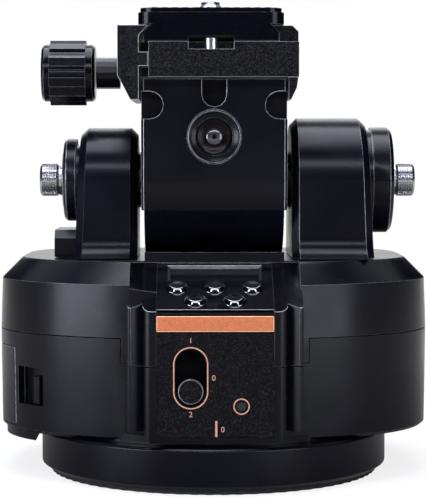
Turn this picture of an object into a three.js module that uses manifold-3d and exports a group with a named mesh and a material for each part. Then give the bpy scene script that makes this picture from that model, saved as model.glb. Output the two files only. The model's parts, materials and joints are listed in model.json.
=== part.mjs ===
// Motorised pan and tilt head for a camera or phone, built from its separate pieces.
// Lengths are in millimetres. X points right, Y points back and Z points up, seen from the front.
// The origin is on the pan axis, on the plane that the rubber mat stands on.
import * as THREE from 'three';
import { mergeVertices } from 'three/addons/utils/BufferGeometryUtils.js';
import Module from 'manifold-3d';

const wasm = await Module();
wasm.setup();

// Driving dimensions

const fineSides = 64;
const roundSides = 32;
const smallSides = 16;
const tinySides = 8;
const arcSteps = 3;
const archSteps = 16;
const filletSteps = 4;
const boreSteps = 8;

const overrun = 6;      // how far a cutter runs past the face it opens
const seatGap = 0.3;    // between faces that rest on each other
const fitGap = 0.15;    // round a piece that sits in a hole
const runGap = 0.05;    // round a shaft that turns

const pan = {
  matRadius: 45.3, matBore: 9, matThick: 1.2,
  baseRadius: 47.8, baseTop: 12.2, baseChamfer: 1.9, baseChamferRise: 1.3, baseEdge: 0.6,
  baseWall: 4, baseFloorTop: 5, bossRadius: 14, bossTop: 9,
  bushRadius: 7, bushTop: 16, bushBore: 4.8,
  shaftRadius: 12.5, shaftBore: 7.3, shaftFlange: 16, shaftFlangeThick: 2.9, shaftTop: 28,
  bearingOuter: 18.5, bearingBottom: 12.7, bearingWidth: 7, bearingGroove: 0.6, bearingRace: 1.9,
  nutRadius: 15.8, nutHeight: 3.4, nutFlats: 6,
  toothModuleShare: 0.02615, gearTeeth: 44, pinionTeeth: 10, gearBottom: 5.3, gearTop: 10.6, gearRim: 5.5,
  motorAngle: 35,
};
const panDrive = {
  boxRadius: 9, boxHeight: 10.8, motorRadius: 8, motorHeight: 21,
  axleRadius: 2, capRadius: 3, capHeight: 1.4,
};

const body = {
  halfWidth: 59.1, frontDepth: 39.5, rearDepth: 47.3, frontPowerShare: 2, rearPowerShare: 4.5,
  bottom: 12.5, lowEdge: 13.4, seam: 39.6, wallTop: 53.3, shoulder: 58.4, top: 59,
  bottomInset: 1.4, lowInset: 0.3, wallTopInset: 0.5, shoulderInset: 5.6, topInset: 6.4,
  wall: 2.2, floor: 2, roof: 2.2,
  hubRadius: 22, hubTop: 22, hubLedge: 1.8, hubLedgeBore: 16.6,
  skirtGap: 0.5, skirtWall: 1.8, skirtDrop: 3,
  lipBottom: 10.4, lipInset: 1.5, lipStart: 48,
};

const pod = {
  halfWidth: 22.75, front: 45.9, back: 28, bottom: 13.4, sideSeam: 33.2, seamHalfWidth: 24.4,
  outerLobe: 1.1, outerLobeBack: 2.7, innerLobe: 2.4, lobeGroove: 3.4, panelMargin: 1.2, wall: 2.2,
  footHalfWidth: 16.7, footOuter: 18.5, footOuterBottom: 16.2,
  windowHalfWidth: 12.4, windowBottom: 18.4, windowTop: 40.6,
};
const panel = { halfWidth: 15, bottom: 15, thick: 1.2, proud: 0.1 };
const stripe = { bottom: 42.2, top: 46.2, recess: 0.25, thick: 0.4 };
const modeSwitch = {
  x: -6.3, slotCentre: 30.3, slotHalfWidth: 3.95, slotHalfTravel: 3.5,
  knobRadius: 3.3, knobProud: 0.3, knobDepth: 1.7, stemRadius: 1.4, stemLength: 2.6,
  caseWidth: 7.4, caseHeight: 15, caseDepth: 3.6,
};
const lamp = { x: 6.7, z: 23, radius: 1.2, proud: 0.2, flangeRadius: 1.9, flangeThick: 0.8 };

const deck = {
  halfWidth: 22.3, frontZ: 47.3, backY: -24.5, backZ: 58.6, roof: 2.2,
  coverHalfWidth: 15, coverStart: 1, coverEnd: 23.6, coverThick: 1.1, ledge: 1.4,
  sillHeight: 2.3, sillThick: 2.6, sillHalfWidth: 18.6,
};
const display = { start: 15, end: 22.6, halfWidth: 11.6, bevel: 0.8, paneThick: 0.9, paneMargin: 1 };
const button = {
  rows: [{ along: 11.4, across: [-9.75, 0, 9.75] }, { along: 5.2, across: [-5, 5] }],
  radius: 2.55, topRadius: 1.9, height: 1.1, depth: 0.9, holeRadius: 3.15, stemRadius: 1.1, stemLength: 0.7,
  travel: 0.5, boardThick: 1, boardMargin: 1.4, boardHalfWidth: 15,
};
const mainBoard = {
  halfWidth: 21, front: -26, back: 9, thick: 1.6, z: 43, chipSize: 8, chipHeight: 1.2,
  postRadius: 1.7, postInset: 1.8,
};

const battery = {
  innerInset: 23.6, outerInset: 6.7, front: -9, back: 33, height: 18, edge: 2.5,
};
const door = { front: -15.8, back: 27, bottom: 14.2, top: 35.1, innerInset: 9.6, gap: 0.25 };
const latch = {
  inset: 8.9, y: -21.2, angle: -46.7, pocketWidth: 9.4, pocketBottom: 20.1, pocketTop: 30.3,
  pocketDepth: 3.4, pocketWall: 1.8, tabWidth: 2.4, tabBottom: 20.5, tabTop: 28, tabDepth: 2.6,
  tabOffset: 1.6,
  scoopRadius: 1.9, scoopOffset: 4.1, scoopOut: 0.2,
};

const tilt = { z: 80.1 };
const leftTower = {
  radius: 14.4, inner: -20.8, outer: -36.4, flare: 5.2, bevel: 1.9, boreRadius: 9.5, hubBore: 8.2,
  innerWall: 2.4,
};
const rightTower = {
  radius: 17.1, inner: 21, outer: 41.7, flare: 5.6, bevel: 1.9, boreRadius: 9.5, hubBore: 8.2, innerWall: 2.4,
  gearBoreRadius: 14.2, gearBoreStart: 35.4,
};
const towerDraftShare = 0.042;
const shoulderBlock = { outer: -43.5, halfDepth: 11, top: 66.6, bevel: 2.2 };

const leftCap = {
  radius: 11.4, outer: -41.25, edge: 0.8, bossRadius: 8, bossHeight: 0.4, wall: 1.6, spigot: 9.4,
};
const rightCap = { radius: 14.6, outer: 49, edge: 1, bossRadius: 8, bossHeight: 0.3, wall: 2, spigot: 13.9 };
const capSpigot = { length: 2.2, wall: 1.2 };
const bolt = {
  headRadius: 4.5, headLength: 5.2, edge: 0.6, socketRadius: 2.3, socketDepth: 2.6, shankRadius: 2.3,
  shankLength: 14, washerRadius: 4.3, washerThick: 0.8, knurlTeeth: 16, knurlDepth: 0.25,
};
const trunnion = {
  radius: 5, collarRadius: 7.7, collarEnd: 2.1, leftInner: -15.4, rightInner: 14.4, boreRadius: 2.5,
  boreDepth: 18,
};
const tiltBearing = { width: 5, bearingGroove: 0.5, race: 1.2 };
const tiltGear = { toothModule: 1, teeth: 24, pinionTeeth: 10, width: 4.6, pinionWidth: 4 };
const tiltDrive = { motorRadius: 6, length: 11, axleRadius: 1, clearance: 0.6 };

const block = {
  x: 0, halfWidth: 19.6, lowHalfWidth: 18.85, lowStart: 2, radius: 20.5, top: 107.4, wall: 2.4,
  edge: 0.7, splitGap: 0.3,
  slotHalfWidth: 3.35, slotBottom: 99.9, slotDepth: 3,
  sideRecessDepth: 3, sideRecessBottom: 96.7, sideRecessTop: 104.2, sideRecessReach: 6,
};
const lens = {
  z: 92, bezelRadius: 7.2, bezelProud: 0.7, bezelDepth: 3, bezelBore: 4.9, bezelMouth: 6.4,
  glassThick: 1, glassSet: 1, barrelRadius: 4, barrelLength: 7.6, boardHalf: 8, boardThick: 1.4,
};

const clamp = {
  frontThick: 3.6, webLeft: -19.8, webFront: 20.6, tongueGap: 0.25,
  left: -17.4, right: 22.4, halfDepth: 25, bottom: 107.8, top: 117.1, edge: 0.6,
  notchHalfWidth: 6.1, notchDepth: 2, notchReach: 3.4,
  jawTop: 121.5, jawTip: 15.35, jawFoot: 119.4, jawInner: 17.35, jawCorner: 1.6,
  skirtInner: 19.85, skirtOuter: 22, skirtBottom: 101.8, skirtWaist: 105,
  screwZ: 109.65, boltRadius: 2.4, boltHeadRadius: 4.2, boltHeadHeight: 3.4, boltLength: 9,
};
const jaw = {
  outer: -25.7, inner: -20.1, tip: -17.6, top: 121.4, foot: 118.7, tongueTop: 114.3, tongueBottom: 110.7,
  tongueTip: -17.7, bottom: 101.8, bevelTop: 108.3, bevelInner: -22.3, 
};
const clampScrew = { radius: 1.8, tip: -6.4, barrelRadius: 4.35 };
const guidePin = { radius: 1.6, y: 17, z: 112.4, tip: 2 };
const knob = {
  outer: -47.35, inner: -32.7, gripStart: -45.1, gripEnd: -35.2, flangeRadius: 7.9, gripRadius: 9,
  grooveRadius: 8.2, ribs: 10, ribShare: 0.72, edge: 0.7,
};

const plate = {
  x: -0.85, halfWidth: 19.4, halfDepth: 25, bottom: 117.4, slabBottom: 121.8, top: 126.05, cornerRadius: 4,
  topEdge: 1.2, dovetailFoot: 119.5, dovetailHalf: 17.85, dovetailNeckHalf: 15.85,
  slotRadius: 3.4, slotHalfLength: 9, counterRadius: 6.4, counterDepth: 4.2,
};
const pad = {
  halfWidth: 16.4, halfDepth: 22, recess: 0.9, proud: 0.25, ribs: 12, ribGap: 1.1, base: 0.5, slotRadius: 4.4,
};
const cameraScrew = {
  radius: 3.1, tip: 129.3, tipEdge: 0.6, headRadius: 5.9, headHeight: 3.2, slotWidth: 1.2,
  slotDepth: 1.2, y: 0,
};
const stopPin = { x: -0.85, y: -23.2, radius: 1.8, shankRadius: 1.1, top: 118.2, bottom: 113.4 };

// Places worked out from the sizes above

const degree = Math.PI / 180;
const lowPoint = 1.5 * Math.PI;   // the lowest point of a circle, as an angle
const hexSides = 6;
const deckRise = deck.backZ - deck.frontZ;
const deckRun = deck.backY + pod.front;
const deckSlope = Math.atan2(deckRise, deckRun);
const panModule = pan.baseRadius * pan.toothModuleShare;
const panGearBore = panModule * pan.gearTeeth / 2 - pan.gearRim;
const panReach = panModule * (pan.gearTeeth + pan.pinionTeeth) / 2;
const panMotor = {
  x: panReach * Math.cos(pan.motorAngle * degree),
  y: panReach * Math.sin(pan.motorAngle * degree),
};
// Each tooth: its height above and below the pitch circle in modules, and its half widths in pitches
const tooth = { addendum: 0.85, dedendum: 1.2, tipShare: 0.13, rootShare: 0.3 };
const tiltReach = tiltGear.toothModule * (tiltGear.teeth + tiltGear.pinionTeeth) / 2;
const tiltMotorZ = tilt.z - tiltReach;
const towerFoot = body.top + seatGap;
const panelFront = pod.front + panel.proud;
const bearingTop = pan.bearingBottom + pan.bearingWidth;
const innerRaceRadius = pan.shaftRadius + runGap;

// Materials

const shade = {
  shell: [0x17171b, 0.42, 0],
  panel: [0x1b1b20, 0.6, 0],
  copper: [0xcd7346, 0.35, 0.6],
  gloss: [0x060607, 0.12, 0],
  anodised: [0x18181b, 0.5, 0.7],
  steel: [0xc9c9cc, 0.28, 1],
  darkSteel: [0x55565a, 0.35, 1],
  brass: [0xb08d3e, 0.35, 1],
  rubber: [0x111112, 0.85, 0],
  acetal: [0xe6e4da, 0.5, 0],
  board: [0x14532d, 0.5, 0],
  glass: [0x101420, 0.06, 0],
  battery: [0x24486b, 0.45, 0],
  motor: [0x9a9ba0, 0.3, 0.9],
};
const materials = Object.fromEntries(Object.entries(shade).map(([name, [color, roughness, metalness]]) => [
  name, new THREE.MeshStandardMaterial({ color, roughness, metalness }),
]));

// Solids from three.js geometry

function solidOf(geometry) {
  const bare = geometry.clone();
  for (const name of ['normal', 'uv']) bare.deleteAttribute(name);
  const merged = mergeVertices(bare);
  const points = merged.attributes.position;
  const corners = Array.from(merged.index.array);
  const faces = [];
  let volume = 0;
  const [a, b, c] = [new THREE.Vector3(), new THREE.Vector3(), new THREE.Vector3()];
  for (let i = 0; i < corners.length; i += 3) {
    const [p, q, r] = corners.slice(i, i + 3);
    if (p === q || q === r || r === p) continue;
    faces.push([p, q, r]);
    a.fromBufferAttribute(points, p);
    b.fromBufferAttribute(points, q);
    c.fromBufferAttribute(points, r);
    volume += a.dot(b.cross(c));
  }
  const triangles = faces.flatMap(([p, q, r]) => (volume < 0 ? [p, r, q] : [p, q, r]));
  return new wasm.Manifold(new wasm.Mesh({
    numProp: 3,
    vertProperties: Float32Array.from(points.array),
    triVerts: Uint32Array.from(triangles),
  }));
}

function geometryOf(solid) {
  const mesh = solid.getMesh();
  const geometry = new THREE.BufferGeometry();
  geometry.setAttribute('position', new THREE.BufferAttribute(mesh.vertProperties, 3));
  geometry.setIndex(new THREE.BufferAttribute(mesh.triVerts, 1));
  const flat = geometry.toNonIndexed();
  flat.computeVertexNormals();
  return flat;
}

const join = (...solids) => solids.reduce((whole, next) => whole.add(next));
const cut = (solid, ...tools) => tools.reduce((rest, tool) => rest.subtract(tool), solid);

const group = new THREE.Group();

function place(name, solid, material) {
  const mesh = new THREE.Mesh(geometryOf(solid), materials[material]);
  mesh.name = name;
  group.add(mesh);
}

// The three ways a flat outline is laid: along x it is drawn in (y, z), along y in (x, z), along z in (x, y)
const frames = {
  x: new THREE.Matrix4().makeBasis(
    new THREE.Vector3(0, 1, 0), new THREE.Vector3(0, 0, 1), new THREE.Vector3(1, 0, 0)),
  y: new THREE.Matrix4().makeBasis(
    new THREE.Vector3(1, 0, 0), new THREE.Vector3(0, 0, 1), new THREE.Vector3(0, 1, 0)),
  z: new THREE.Matrix4(),
};

function outline(points) {
  return new THREE.Shape(points.map(([u, v]) => new THREE.Vector2(u, v)));
}

function prism(axis, shape, from, to, bevel = 0, steps = arcSteps) {
  const geometry = new THREE.ExtrudeGeometry(shape, {
    depth: to - from - 2 * bevel,
    steps: 1,
    curveSegments: steps,
    bevelEnabled: bevel > 0,
    bevelThickness: bevel,
    bevelSize: bevel,
    bevelOffset: -bevel,
    bevelSegments: 1,
  });
  geometry.translate(0, 0, from + bevel);
  return solidOf(geometry.applyMatrix4(frames[axis]));
}

function box([x0, x1], [y0, y1], [z0, z1]) {
  const geometry = new THREE.BoxGeometry(x1 - x0, y1 - y0, z1 - z0);
  return solidOf(geometry.translate((x0 + x1) / 2, (y0 + y1) / 2, (z0 + z1) / 2));
}

// A turned piece: its profile is a list of [radius, place along the axis], and centre holds the other
// two places
function turned(axis, profile, centre = [0, 0], sides = roundSides) {
  const points = profile.map(([r, w]) => new THREE.Vector2(r, w));
  if (profile[0][0] > 0 || profile.at(-1)[0] > 0) points.push(points[0].clone());
  const geometry = new THREE.LatheGeometry(points, sides);
  geometry.applyMatrix4(new THREE.Matrix4().makeBasis(
    new THREE.Vector3(1, 0, 0), new THREE.Vector3(0, 0, 1), new THREE.Vector3(0, -1, 0)));
  geometry.translate(centre[0], centre[1], 0);
  return solidOf(geometry.applyMatrix4(frames[axis]));
}

const rod = (axis, radius, from, to, centre, sides) =>
  turned(axis, [[0, from], [radius, from], [radius, to], [0, to]], centre, sides);
const tube = (axis, bore, radius, from, to, centre, sides) =>
  turned(axis, [[bore, from], [radius, from], [radius, to], [bore, to]], centre, sides);

// A solid through rings of points that match one to one, closed by a fan at each end
function loft(rings) {
  const count = rings[0].length;
  const middle = ring => ring.reduce((sum, p) => sum.map((s, i) => s + p[i] / count), [0, 0, 0]);
  const points = [...rings.flat(), middle(rings[0]), middle(rings.at(-1))];
  const index = [];
  for (let k = 0; k < count; k++) {
    const next = (k + 1) % count;
    for (let level = 0; level + 1 < rings.length; level++) {
      const low = level * count;
      const high = low + count;
      index.push(low + k, low + next, high + next, low + k, high + next, high + k);
    }
    const last = (rings.length - 1) * count;
    index.push(points.length - 2, next, k, points.length - 1, last + k, last + next);
  }
  const geometry = new THREE.BufferGeometry();
  geometry.setAttribute('position', new THREE.Float32BufferAttribute(points.flat(), 3));
  geometry.setIndex(index);
  return solidOf(geometry);
}

function gearShape(teeth, toothModule, bore) {
  const pitch = 2 * Math.PI / teeth;
  const rootRadius = toothModule * (teeth / 2 - tooth.dedendum);
  const tipRadius = toothModule * (teeth / 2 + tooth.addendum);
  const corners = [
    [rootRadius, -tooth.rootShare], [tipRadius, -tooth.tipShare], [tipRadius, tooth.tipShare],
    [rootRadius, tooth.rootShare],
  ];
  const points = [];
  for (let place = 0; place < teeth; place++) {
    for (const [radius, share] of corners) {
      const angle = (place + share) * pitch;
      points.push([radius * Math.cos(angle), radius * Math.sin(angle)]);
    }
  }
  const shape = outline(points);
  shape.holes.push(new THREE.Path().absarc(0, 0, bore, 0, 2 * Math.PI, true));
  return shape;
}

function roundedBlock(axis, [u0, u1], [v0, v1], from, to, radius) {
  const shape = new THREE.Shape();
  shape.absarc(u1 - radius, v0 + radius, radius, -Math.PI / 2, 0, false);
  shape.absarc(u1 - radius, v1 - radius, radius, 0, Math.PI / 2, false);
  shape.absarc(u0 + radius, v1 - radius, radius, Math.PI / 2, Math.PI, false);
  shape.absarc(u0 + radius, v0 + radius, radius, Math.PI, lowPoint, false);
  return prism(axis, shape, from, to);
}

function arc(u, v, radius, from, to, steps) {
  return Array.from({ length: steps + 1 }, (_, i) => {
    const angle = (from + (to - from) * i / steps) * Math.PI;
    return [u + radius * Math.cos(angle), v + radius * Math.sin(angle)];
  });
}

function stadium(u, v, halfWidth, halfTravel) {
  const shape = new THREE.Shape();
  shape.absarc(u, v + halfTravel, halfWidth, 0, Math.PI, false);
  shape.absarc(u, v - halfTravel, halfWidth, Math.PI, 2 * Math.PI, false);
  return shape;
}

// Pan base: mat, ring, shaft, bearing and gear

function makePanBase() {
  place('rubber_mat', tube('z', pan.matBore, pan.matRadius, 0, pan.matThick, [0, 0], fineSides), 'rubber');

  const bottom = pan.matThick + runGap;
  const chamferTop = bottom + pan.baseChamferRise;
  const cupRadius = pan.baseRadius - pan.baseWall;
  const bore = pan.bushRadius + fitGap;
  place('pan_base', turned('z', [
    [bore, bottom],
    [pan.baseRadius - pan.baseChamfer, bottom],
    [pan.baseRadius, chamferTop],
    [pan.baseRadius, pan.baseTop - pan.baseEdge],
    [pan.baseRadius - pan.baseEdge, pan.baseTop],
    [cupRadius, pan.baseTop],
    [cupRadius, pan.baseFloorTop],
    [pan.bossRadius, pan.baseFloorTop],
    [pan.bossRadius, pan.bossTop],
    [bore, pan.bossTop],
  ], [0, 0], fineSides), 'shell');

  const bushBottom = pan.matThick + fitGap;
  place('tripod_bush', tube('z', pan.bushBore, pan.bushRadius, bushBottom, pan.bushTop, [0, 0],
    smallSides), 'brass');

  const flangeBottom = pan.bossTop + seatGap;
  const flangeTop = flangeBottom + pan.shaftFlangeThick;
  place('pan_shaft', turned('z', [
    [pan.shaftBore, flangeBottom],
    [pan.shaftFlange, flangeBottom],
    [pan.shaftFlange, flangeTop],
    [pan.shaftRadius, flangeTop],
    [pan.shaftRadius, pan.shaftTop],
    [pan.shaftBore, pan.shaftTop],
  ]), 'darkSteel');

  place('pan_bearing', bearing('z', innerRaceRadius, pan.bearingOuter, pan.bearingBottom, bearingTop,
    pan.bearingRace, pan.bearingGroove, [0, 0], roundSides), 'steel');

  const nutBottom = bearingTop + seatGap;
  const nut = cut(
    rod('z', pan.nutRadius, nutBottom, nutBottom + pan.nutHeight, [0, 0], pan.nutFlats),
    rod('z', pan.shaftRadius + fitGap, nutBottom - overrun, nutBottom + overrun, [0, 0]));
  place('pan_nut', nut, 'darkSteel');

  place('pan_ring_gear', prism('z', gearShape(pan.gearTeeth, panModule, panGearBore),
    pan.gearBottom, pan.gearTop, 0, boreSteps), 'acetal');
}

// A ball bearing as its outer shape: two races with a shallow shield groove between them
function bearing(axis, bore, radius, from, to, race, groove, centre, sides) {
  return turned(axis, [
    [bore, from], [radius, from], [radius, to], [radius - race, to],
    [radius - race, to - groove], [bore + race, to - groove], [bore + race, to], [bore, to],
  ], centre, sides);
}

// Body shells

function bodyRing(inset, z) {
  const ring = [];
  for (let k = 0; k < fineSides; k++) {
    const angle = 2 * Math.PI * k / fineSides;
    const [c, s] = [Math.cos(angle), Math.sin(angle)];
    const front = s < 0;
    const power = 2 / (front ? body.frontPowerShare : body.rearPowerShare);
    const depth = (front ? body.frontDepth : body.rearDepth) - inset;
    ring.push([
      (body.halfWidth - inset) * Math.sign(c) * Math.abs(c) ** power,
      depth * Math.sign(s) * Math.abs(s) ** power,
      z,
    ]);
  }
  return ring;
}

// The wedge of space above the sloped deck, lowered by drop
function aboveDeck(halfWidth, drop) {
  const slope = deckRise / deckRun;
  const frontY = -pod.front - overrun;
  const ceiling = body.top + overrun;
  return prism('x', outline([
    [frontY, deck.frontZ - overrun * slope - drop],
    [deck.backY, deck.backZ - drop],
    [deck.backY, ceiling],
    [frontY, ceiling],
  ]), -halfWidth, halfWidth);
}

function podShape() {
  const shape = new THREE.Shape();
  const lobeY = -(pod.front - pod.outerLobeBack);
  const outerX = pod.halfWidth - pod.outerLobe;
  const innerX = panel.halfWidth + pod.panelMargin;
  const innerY = -(pod.front - pod.innerLobe);
  shape.moveTo(-pod.halfWidth, -pod.back);
  shape.absarc(-outerX, lobeY, pod.outerLobe, Math.PI, lowPoint, false);
  shape.lineTo(-innerX - pod.innerLobe, -(pod.front - pod.lobeGroove));
  shape.absarc(-innerX, innerY, pod.innerLobe, Math.PI, lowPoint, false);
  shape.absarc(innerX, innerY, pod.innerLobe, lowPoint, 2 * Math.PI, false);
  shape.lineTo(innerX + pod.innerLobe, -(pod.front - pod.lobeGroove));
  shape.absarc(outerX, lobeY, pod.outerLobe, lowPoint, 2 * Math.PI, false);
  shape.lineTo(pod.halfWidth, -pod.back);
  return shape;
}

function bodyShell() {
  const outer = loft([
    bodyRing(body.bottomInset, body.bottom),
    bodyRing(body.lowInset, body.lowEdge),
    bodyRing(0, body.seam),
    bodyRing(body.wallTopInset, body.wallTop),
    bodyRing(body.shoulderInset, body.shoulder),
    bodyRing(body.topInset, body.top),
  ]);
  const lip = cut(
    loft([bodyRing(body.lipInset, body.lipBottom), bodyRing(body.bottomInset, body.bottom + seatGap)]),
    box([-body.lipStart, body.halfWidth + overrun], [-body.rearDepth - overrun, body.rearDepth + overrun],
      [body.lipBottom - overrun, body.bottom + overrun]));
  const podFeet = [-1, 1].map(side => prism('y', outline([
    [side * pod.footHalfWidth, pod.bottom - overrun], [side * (pod.halfWidth + overrun),
      pod.bottom - overrun],
    [side * (pod.halfWidth + overrun), pod.footOuterBottom], [side * pod.footOuter, pod.footOuterBottom],
    [side * pod.footHalfWidth, pod.bottom],
  ]), -pod.front - overrun, -pod.back));
  const podOuter = cut(
    prism('z', podShape(), pod.bottom, body.top),
    aboveDeck(pod.halfWidth + overrun, 0), ...podFeet);
  const hull = join(cut(outer, aboveDeck(deck.halfWidth, 0)), podOuter, lip);

  const bodyHollow = loft([
    bodyRing(body.lowInset + body.wall, body.bottom + body.floor),
    bodyRing(body.wall, body.seam),
    bodyRing(body.wallTopInset + body.wall, body.wallTop),
    bodyRing(body.shoulderInset + body.wall, body.top - body.roof),
  ]);
  const podHollow = box([-panel.halfWidth, panel.halfWidth],
    [-(pod.front - panel.thick - pod.wall), -pod.back + overrun], [body.bottom + body.floor,
      body.top - body.roof]);
  const hollow = cut(join(bodyHollow, podHollow), aboveDeck(deck.halfWidth + body.wall, deck.roof));
  return { hull, shell: cut(hull, hollow) };
}

// The two shells meet at the seam, which steps down across the control pod
function seamMask(grow) {
  return join(
    box([-body.halfWidth - overrun, body.halfWidth + overrun], [-pod.front - overrun,
      body.rearDepth + overrun],
      [body.seam - grow, body.top + overrun]),
    box([-pod.seamHalfWidth - grow, pod.seamHalfWidth + grow], [-pod.front - overrun, -pod.back],
      [pod.sideSeam - grow, body.top]));
}

const doorBox = grow => box([-body.halfWidth - overrun, door.innerInset - body.halfWidth + grow],
  [door.front - grow, door.back + grow], [door.bottom - grow, door.top + grow]);

function latchFrame(solid) {
  return solid.rotate([0, 0, latch.angle]).translate([latch.inset - body.halfWidth, latch.y, 0]);
}

// In the latch's own frame -Y points out of the wall
function latchPocket(grow) {
  const half = latch.pocketWidth / 2 + grow;
  return latchFrame(box([-half, half], [grow > 0 ? 0 : -overrun, latch.pocketDepth + grow],
    [latch.pocketBottom - grow, latch.pocketTop + grow]));
}

function latchScoop() {
  return latchFrame(rod('z', latch.scoopRadius, latch.pocketBottom, latch.pocketTop,
    [latch.scoopOffset, -latch.scoopOut], smallSides));
}

function panelRecess() {
  const half = panel.halfWidth + fitGap;
  return join(
    box([-half, half], [-pod.front - overrun, -(panelFront - panel.thick - fitGap)],
      [panel.bottom - fitGap, body.top]),
    box([-pod.windowHalfWidth, pod.windowHalfWidth], [-pod.front - overrun, -pod.front + pod.wall * 2],
      [pod.windowBottom, pod.windowTop]));
}

function makeShells() {
  const { hull, shell } = bodyShell();
  const floorTop = body.bottom + body.floor;
  const hub = turned('z', [
    [pan.bearingOuter + fitGap, body.bottom],
    [body.hubRadius, body.bottom],
    [body.hubRadius, body.hubTop],
    [body.hubLedgeBore, body.hubTop],
    [body.hubLedgeBore, body.hubTop - body.hubLedge],
    [pan.bearingOuter + fitGap, body.hubTop - body.hubLedge],
  ]);
  const postX = mainBoard.halfWidth - mainBoard.postInset;
  const posts = [[-postX, mainBoard.front], [postX, mainBoard.front]].map(([x, y]) =>
    rod('z', mainBoard.postRadius, floorTop - runGap, mainBoard.z - seatGap, [x,
      y + mainBoard.postInset], tinySides));
  const backPosts = [-postX, postX].map(x =>
    rod('z', mainBoard.postRadius, floorTop - runGap, mainBoard.z - seatGap, [x, mainBoard.back], tinySides));
  const pocketBack = latchPocket(latch.pocketWall).intersect(hull);
  const lower = cut(
    join(cut(shell, seamMask(seatGap)), hub, pocketBack, ...posts, ...backPosts),
    rod('z', pan.bearingOuter + fitGap, body.bottom - overrun, body.hubTop - body.hubLedge, [0, 0]),
    rod('z', panModule * pan.pinionTeeth, body.bottom - overrun, floorTop + runGap,
      [panMotor.x, panMotor.y], smallSides),
    panelRecess(), doorBox(door.gap), latchPocket(0), latchScoop());
  // A skirt round the bottom reaches into the foot and hides the pan gear
  const skirtRadius = pan.baseRadius - pan.baseWall - body.skirtGap;
  const skirt = tube('z', skirtRadius - body.skirtWall, skirtRadius, body.bottom - body.skirtDrop,
    floorTop - runGap);
  place('lower_shell', join(lower, skirt), 'shell');

  const roofBottom = body.top - body.roof;
  const openings = [
    deckFrame(box([-deck.coverHalfWidth - fitGap, deck.coverHalfWidth + fitGap],
      [deck.coverStart - fitGap, deck.coverEnd + fitGap], [-deck.coverThick - fitGap, overrun])),
    deckFrame(box([-deck.coverHalfWidth + deck.ledge, deck.coverHalfWidth - deck.ledge],
      [deck.coverStart + deck.ledge, deck.coverEnd - deck.ledge / 2], [-overrun, overrun])),
    box([rightTower.inner + rightTower.innerWall, rightTower.outer - seatGap],
      [-tiltDrive.motorRadius - tiltDrive.clearance, tiltDrive.motorRadius + tiltDrive.clearance],
      [roofBottom - overrun, body.top + overrun]),
    rod('z', tiltDrive.motorRadius, roofBottom - overrun, body.top + overrun,
      [(leftTower.inner + leftTower.outer) / 2, 0], smallSides),
  ];
  const sill = box([-deck.sillHalfWidth, deck.sillHalfWidth], [deck.backY, deck.backY + deck.sillThick],
    [body.top - seatGap, body.top + deck.sillHeight]);
  place('upper_shell', cut(join(shell.intersect(seamMask(0)), sill), panelRecess(), ...openings), 'shell');

  place('battery_door', cut(shell.intersect(doorBox(0)), seamMask(seatGap)), 'shell');
}

// Battery and its latch

function makeBattery() {
  const bottom = body.bottom + body.floor + seatGap;
  place('battery_pack', roundedBlock('y', [battery.outerInset - body.halfWidth,
    battery.innerInset - body.halfWidth],
    [bottom, bottom + battery.height],
    battery.front, battery.back, battery.edge), 'battery');
  const tab = box([latch.tabOffset, latch.tabOffset + latch.tabWidth], [latch.pocketDepth - latch.tabDepth,
    latch.pocketDepth - fitGap], [latch.tabBottom, latch.tabTop]);
  place('battery_latch', latchFrame(tab), 'shell');
}

// Pan drive

function makePanDrive() {
  const centre = [panMotor.x, panMotor.y];
  const boxBottom = body.bottom + body.floor + seatGap;
  const boxTop = boxBottom + panDrive.boxHeight;
  const pinionBore = panDrive.axleRadius + fitGap;
  const motorTop = boxTop + panDrive.motorHeight;
  const capTop = motorTop + panDrive.capHeight;
  place('pan_gearmotor', turned('z', [
    [0, pan.gearBottom], [panDrive.axleRadius, pan.gearBottom], [panDrive.axleRadius, boxBottom],
    [panDrive.boxRadius, boxBottom], [panDrive.boxRadius, boxTop], [panDrive.motorRadius, boxTop],
    [panDrive.motorRadius, motorTop], [panDrive.capRadius, motorTop], [panDrive.capRadius, capTop], [0,
      capTop],
  ], centre, smallSides), 'motor');
  const shape = gearShape(pan.pinionTeeth, panModule, pinionBore);
  const turn = meshAngle(pan.motorAngle, pan.gearTeeth, pan.pinionTeeth);
  place('pan_pinion', prism('z', shape, pan.gearBottom + runGap, pan.gearTop, 0, boreSteps).rotate([0, 0,
    turn])
    .translate([...centre, 0]), 'brass');
}

// The turn that sets a pinion's gap on the line of centres where the wheel has a tooth, in degrees
function meshAngle(direction, wheelTeeth, pinionTeeth) {
  const wheelPhase = direction / 360 * wheelTeeth;
  const pinionPhase = 0.5 - (wheelPhase - Math.round(wheelPhase));
  return direction + 180 - pinionPhase * 360 / pinionTeeth;
}

// Control deck, in a frame on the slope: x across, y up the slope from its front edge, z out of it

function deckFrame(solid) {
  return solid.rotate([deckSlope / degree, 0, 0]).translate([0, -pod.front, deck.frontZ]);
}

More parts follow.
